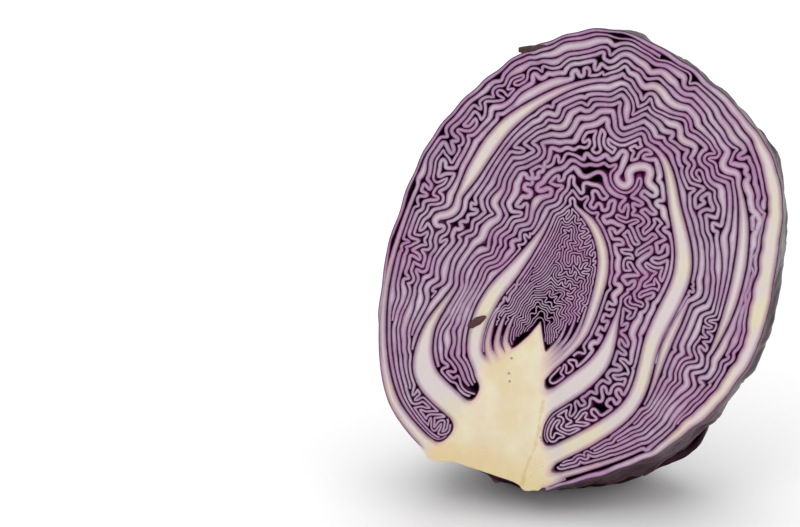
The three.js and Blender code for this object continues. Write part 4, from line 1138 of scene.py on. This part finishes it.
def flesh_nodes(s):
    """Colour of the cut flesh and the skins of a leaf, shared by inner and outer leaves."""
    skin, rib, tone = s.attribute("skin"), s.attribute("rib"), s.attribute("tone")
    wide, fine = s.noise(60, 2), s.noise(420, 3)
    ripple = s.math("MULTIPLY", s.math("SUBTRACT", fine, 0.5), 0.3)
    depth_in = s.math("ADD", skin, ripple)
    blade = s.mix(s.map(wide, 0.35, 0.65), rgb(208, 196, 206), rgb(184, 160, 184))
    blade = s.mix(s.patches(250, 3, 0.45, 0.7, 0.4), blade, rgb(150, 120, 150))
    blade = s.mix(s.math("MULTIPLY", tone, 0.6), blade, rgb(160, 128, 160))
    rib_color = s.mix(s.patches(48, 3, 0.42, 0.66), rgb(212, 200, 200), rgb(218, 208, 180))
    centre = s.mix(rib, blade, rib_color)
    blush_reach = s.map(rib, 0, 1, 1.15, 2.0)
    blush = s.math("SUBTRACT", 1.0, s.math("DIVIDE", depth_in, blush_reach), clamp=True)
    blush_color = s.mix(s.map(wide, 0.35, 0.7), rgb(112, 58, 110), rgb(144, 62, 126))
    centre = s.mix(s.math("POWER", blush, 1.1), centre, blush_color)
    outline = s.map(depth_in, 0.1, 0.46, 1.0, 0.0)
    rind = s.mix(s.patches(90, 2, 0.35, 0.65), rgb(48, 14, 42), rgb(78, 24, 66))
    front = s.mix(outline, centre, rind)
    wall = s.mix(s.patches(55, 3, 0.38, 0.66), rgb(58, 14, 50), rgb(132, 34, 102))
    wall = s.mix(s.patches(130, 3, 0.5, 0.75, 0.7), wall, rgb(160, 96, 148))
    # Painted shade: the walls darken the farther back they lie behind the cut, where the gaps between the
    # leaves are deep
    wall = s.mix(s.map(s.attribute("back"), 3, 14, 0.0, 0.75), wall, rgb(34, 10, 28))
    wall = s.mix(s.math("MULTIPLY", s.attribute("bare"), 0.9, clamp=True), wall,
                 s.mix(s.map(wide, 0.35, 0.65), rgb(33, 17, 22), rgb(58, 24, 42)))
    is_wall = s.math("LESS_THAN", skin, -0.02)
    return s.mix(is_wall, front, wall), is_wall


def leaf_material():
    s = Shader("cut_leaf")
    color, is_wall = flesh_nodes(s)
    normal = s.bump(s.noise(700, 3), 0.2, 0.0005)
    s.glow(0.1, 0.0012, (1.0, 0.45, 0.7))
    rough = s.map(is_wall, 0, 1, 0.5, 0.36)
    s.put(s.map(s.attribute("bare"), 0, 1, 0.5, 0.12), s.main.inputs["Specular IOR Level"])
    return s.surface(color=color, roughness=rough, normal=normal)


def outer_material():
    s = Shader("outer_leaf")
    cut, is_wall = flesh_nodes(s)
    outside, vein, crease = s.attribute("outside"), s.attribute("vein"), s.attribute("crease")
    broad, fine = s.noise(18, 4, 0.6), s.noise(140, 4, 0.6)
    base = s.mix(s.map(broad, 0.35, 0.65), rgb(33, 17, 22), rgb(51, 24, 33))
    base = s.mix(s.map(fine, 0.4, 0.75, 0, 0.4), base, rgb(70, 30, 52))
    base = s.mix(s.math("MULTIPLY", vein, 0.6, clamp=True), base, rgb(120, 36, 84))
    # Painted shade: the outside is darker along its creases
    base = s.mix(s.math("MULTIPLY", crease, 0.5), base, rgb(22, 8, 16))
    wax = s.math("MULTIPLY", s.map(s.noise(26, 5, 0.65), 0.45, 0.75), 0.16)
    base = s.mix(wax, base, rgb(74, 64, 74))
    is_out = s.math("GREATER_THAN", outside, 0.5)
    # The inside of the outer and back leaves: their purple skin, darkened further by painted shade to match
    # the deepest walls
    inner_skin_and_shade = s.mix(s.patches(70, 3, 0.3, 0.7), rgb(34, 12, 28), rgb(62, 20, 46))
    color = s.mix(is_wall, cut, inner_skin_and_shade)
    color = s.mix(is_out, color, base)
    normal = s.bump(s.noise(320, 4, 0.6), 0.25, 0.0006)
    rough = s.map(s.noise(40, 4), 0.35, 0.7, 0.28, 0.46)
    s.main.inputs["Specular IOR Level"].default_value = 0.12
    return s.surface(color=color, roughness=rough, normal=normal)


def core_material():
    s = Shader("core_flesh")
    cut, _ = flesh_nodes(s)
    height, root, beside, body = (s.attribute(key) for key in ("height", "root", "beside", "body"))
    skin = s.attribute("skin")
    grain = s.noise(240, 5, 0.6)
    base = s.mix(s.patches(55, 4, 0.38, 0.66), rgb(230, 217, 188), rgb(226, 204, 164))
    base = s.mix(s.patches(75, 3, 0.5, 0.72, 0.5), base, rgb(228, 194, 174))
    base = s.mix(s.map(height, 0.22, -0.02, 0.0, 0.6), base, rgb(222, 194, 128))
    ragged = s.math("ADD", beside, s.math("MULTIPLY", s.math("SUBTRACT", grain, 0.5), 2.5))
    base = s.mix(s.map(ragged, 0.1, 1.0, 0.5, 0.0), base, rgb(206, 170, 96))
    base = s.mix(s.map(grain, 0.5, 0.8, 0, 0.35), base, rgb(238, 228, 208))
    base = s.mix(s.patches(330, 1, 0.76, 0.82, 0.6), base, rgb(140, 90, 60))
    base = s.mix(s.map(s.attribute("speck"), 0.25, 0.75, 0.75, 0.0), base, rgb(120, 76, 64))
    outline = s.map(skin, 0.1, 0.5, 1.0, 0.0)
    base = s.mix(s.map(skin, 0.3, 2.0, 0.45, 0.0), base, rgb(206, 160, 178))
    rind = s.mix(s.map(height, 0.84, 0.98), rgb(96, 34, 74), rgb(176, 138, 160))
    base = s.mix(outline, base, rind)
    base = s.mix(root, base, cut)
    color = s.mix(body, cut, base)
    normal = s.bump(grain, 0.3, 0.0009)
    s.glow(0.2, 0.0025, (1.0, 0.6, 0.4))
    return s.surface(color=color, roughness=0.46, normal=normal)


def withered_material():
    s = Shader("withered_leaf")
    color = s.mix(s.patches(420, 4, 0.35, 0.7), rgb(34, 8, 14), rgb(80, 26, 34))
    return s.surface(color=color, roughness=0.5, normal=s.bump(s.noise(800, 3), 0.3, 0.0005))


def floor_material():
    s = Shader("floor")
    return s.surface(color=rgb(250, 250, 250), roughness=0.9)


# Build

list_leaves()
grown, field = grown_lines()

flesh, outer_skin, core_look = leaf_material(), outer_material(), core_material()
by_node = {}
for leaf_entry, grown_line in zip(LEAVES, grown):
    if leaf_entry["level"] > 0:
        by_node.setdefault(leaf_entry["node"], []).append(grown_line)
for number, (node, node_lines) in enumerate(by_node.items()):
    build_leaf(node, node_lines, flesh, 200 + number)


def rim_veins(seed, angles, side):
    """Veins of an outermost leaf whose midrib was cut: they start at the cut rim and sweep back and up."""
    veins = Veins(seed)
    for angle in angles:
        angle = math.radians(angle)
        start = (DISK * math.cos(angle), DISK * math.sin(angle))
        heading = angle + math.pi - side * 0.75
        veins.grow(start, heading, veins.rng.uniform(70, 100), 0.9, -side, 1)
    return veins.ready()


right_veins = rim_veins(3, [-92, -74, -55, -38, -22, -5, 12, 30, 50, 70, 88], 1)
left_veins = rim_veins(4, [238, 216, 196, 178, 160, 142, 124, 106], -1)
build_outer_leaf("outer_leaf_right", grown[0], outer_skin, right_veins, True)
wrapper = grown[2]
build_outer_leaf("outer_leaf_left", grown[1], outer_skin, left_veins, False, wrapper[wrapper[:, 3] > 0.5, :3])
back_veins = Veins(6)
stem_ray = np.array([math.cos(STEM_ANGLE), math.sin(STEM_ANGLE)])
back_veins.grow(stem_ray * DISK * 0.86, STEM_ANGLE + math.pi, 165, 1.9, 0.2, 0)
build_back_leaf(outer_skin, back_veins.ready())
build_core(core_look, field)
withered = withered_material()
build_scrap("leaf_05_withered_bit", [(-40.6, -24.2), (-38.5, -22.9), (-36.4, -21.4), (-34.2, -20.0)],
            [0.3, 1.3, 1.5, 1.4, 1.0, 0.3], 0.5, withered, "leaf_05")
build_scrap("outer_leaf_left_torn_flap", [(-16.5, 78.6), (-20, 77.7), (-23, 76.9), (-25.8, 76.6)],
            [0.3, 0.8, 1.1, 1.2, 0.9], 0.3, withered, "outer_leaf_left")

# Floor, light, camera

floor_mesh = bpy.data.meshes.new("floor")
floor_mesh.from_pydata([(-8, -8, 0), (8, -8, 0), (8, 8, 0), (-8, 8, 0)], [], [(0, 1, 2, 3)])
floor_mesh.materials.append(floor_material())
floor = bpy.data.objects.new("floor", floor_mesh)
floor.location.z = -0.0003
bpy.context.scene.collection.objects.link(floor)

world = bpy.data.worlds.new("studio")
world.use_nodes = True
world.node_tree.nodes["Background"].inputs["Color"].default_value = (1, 1, 1, 1)
world.node_tree.nodes["Background"].inputs["Strength"].default_value = 0.84
bpy.context.scene.world = world


def area_light(name, place, size, watts, target=(0, 0, 0.09)):
    data = bpy.data.lights.new(name, "AREA")
    data.shape = "RECTANGLE"
    data.size, data.size_y = size
    data.energy = watts
    light = bpy.data.objects.new(name, data)
    light.location = place
    light.rotation_euler = (Vector(target) - Vector(place)).to_track_quat("-Z", "Y").to_euler()
    bpy.context.scene.collection.objects.link(light)


area_light("key", (-0.5, -1.3, 1.5), (0.9, 0.9), 6)
area_light("fill", (1.3, -0.9, 0.9), (0.9, 0.9), 2)
area_light("back", (0.0, 1.6, 2.0), (2.4, 1.4), 22, target=(-0.1, 0.4, 0))
bpy.context.scene.view_settings.view_transform = "Standard"

CAMERA_AZIMUTH, CAMERA_ELEVATION, CAMERA_FAR = math.radians(9), math.radians(20), 1.25
PICTURE_WIDTH, PX_PER_MM = 800, 2.7
SENSOR = 36
camera_data = bpy.data.cameras.new("camera")
camera = bpy.data.objects.new("camera", camera_data)
bpy.context.scene.collection.objects.link(camera)
way = Vector((math.sin(CAMERA_AZIMUTH) * math.cos(CAMERA_ELEVATION),
              -math.cos(CAMERA_AZIMUTH) * math.cos(CAMERA_ELEVATION), math.sin(CAMERA_ELEVATION)))
aim = Vector((-0.0695, 0.0, 0.0795))
camera.location = aim + way * CAMERA_FAR
camera.rotation_euler = (-way).to_track_quat("-Z", "Y").to_euler()
camera_data.sensor_width = SENSOR
camera_data.lens = SENSOR * CAMERA_FAR / (PICTURE_WIDTH / 1000 / PX_PER_MM)
camera_data.clip_start, camera_data.clip_end = 0.05, 50
bpy.context.scene.camera = camera
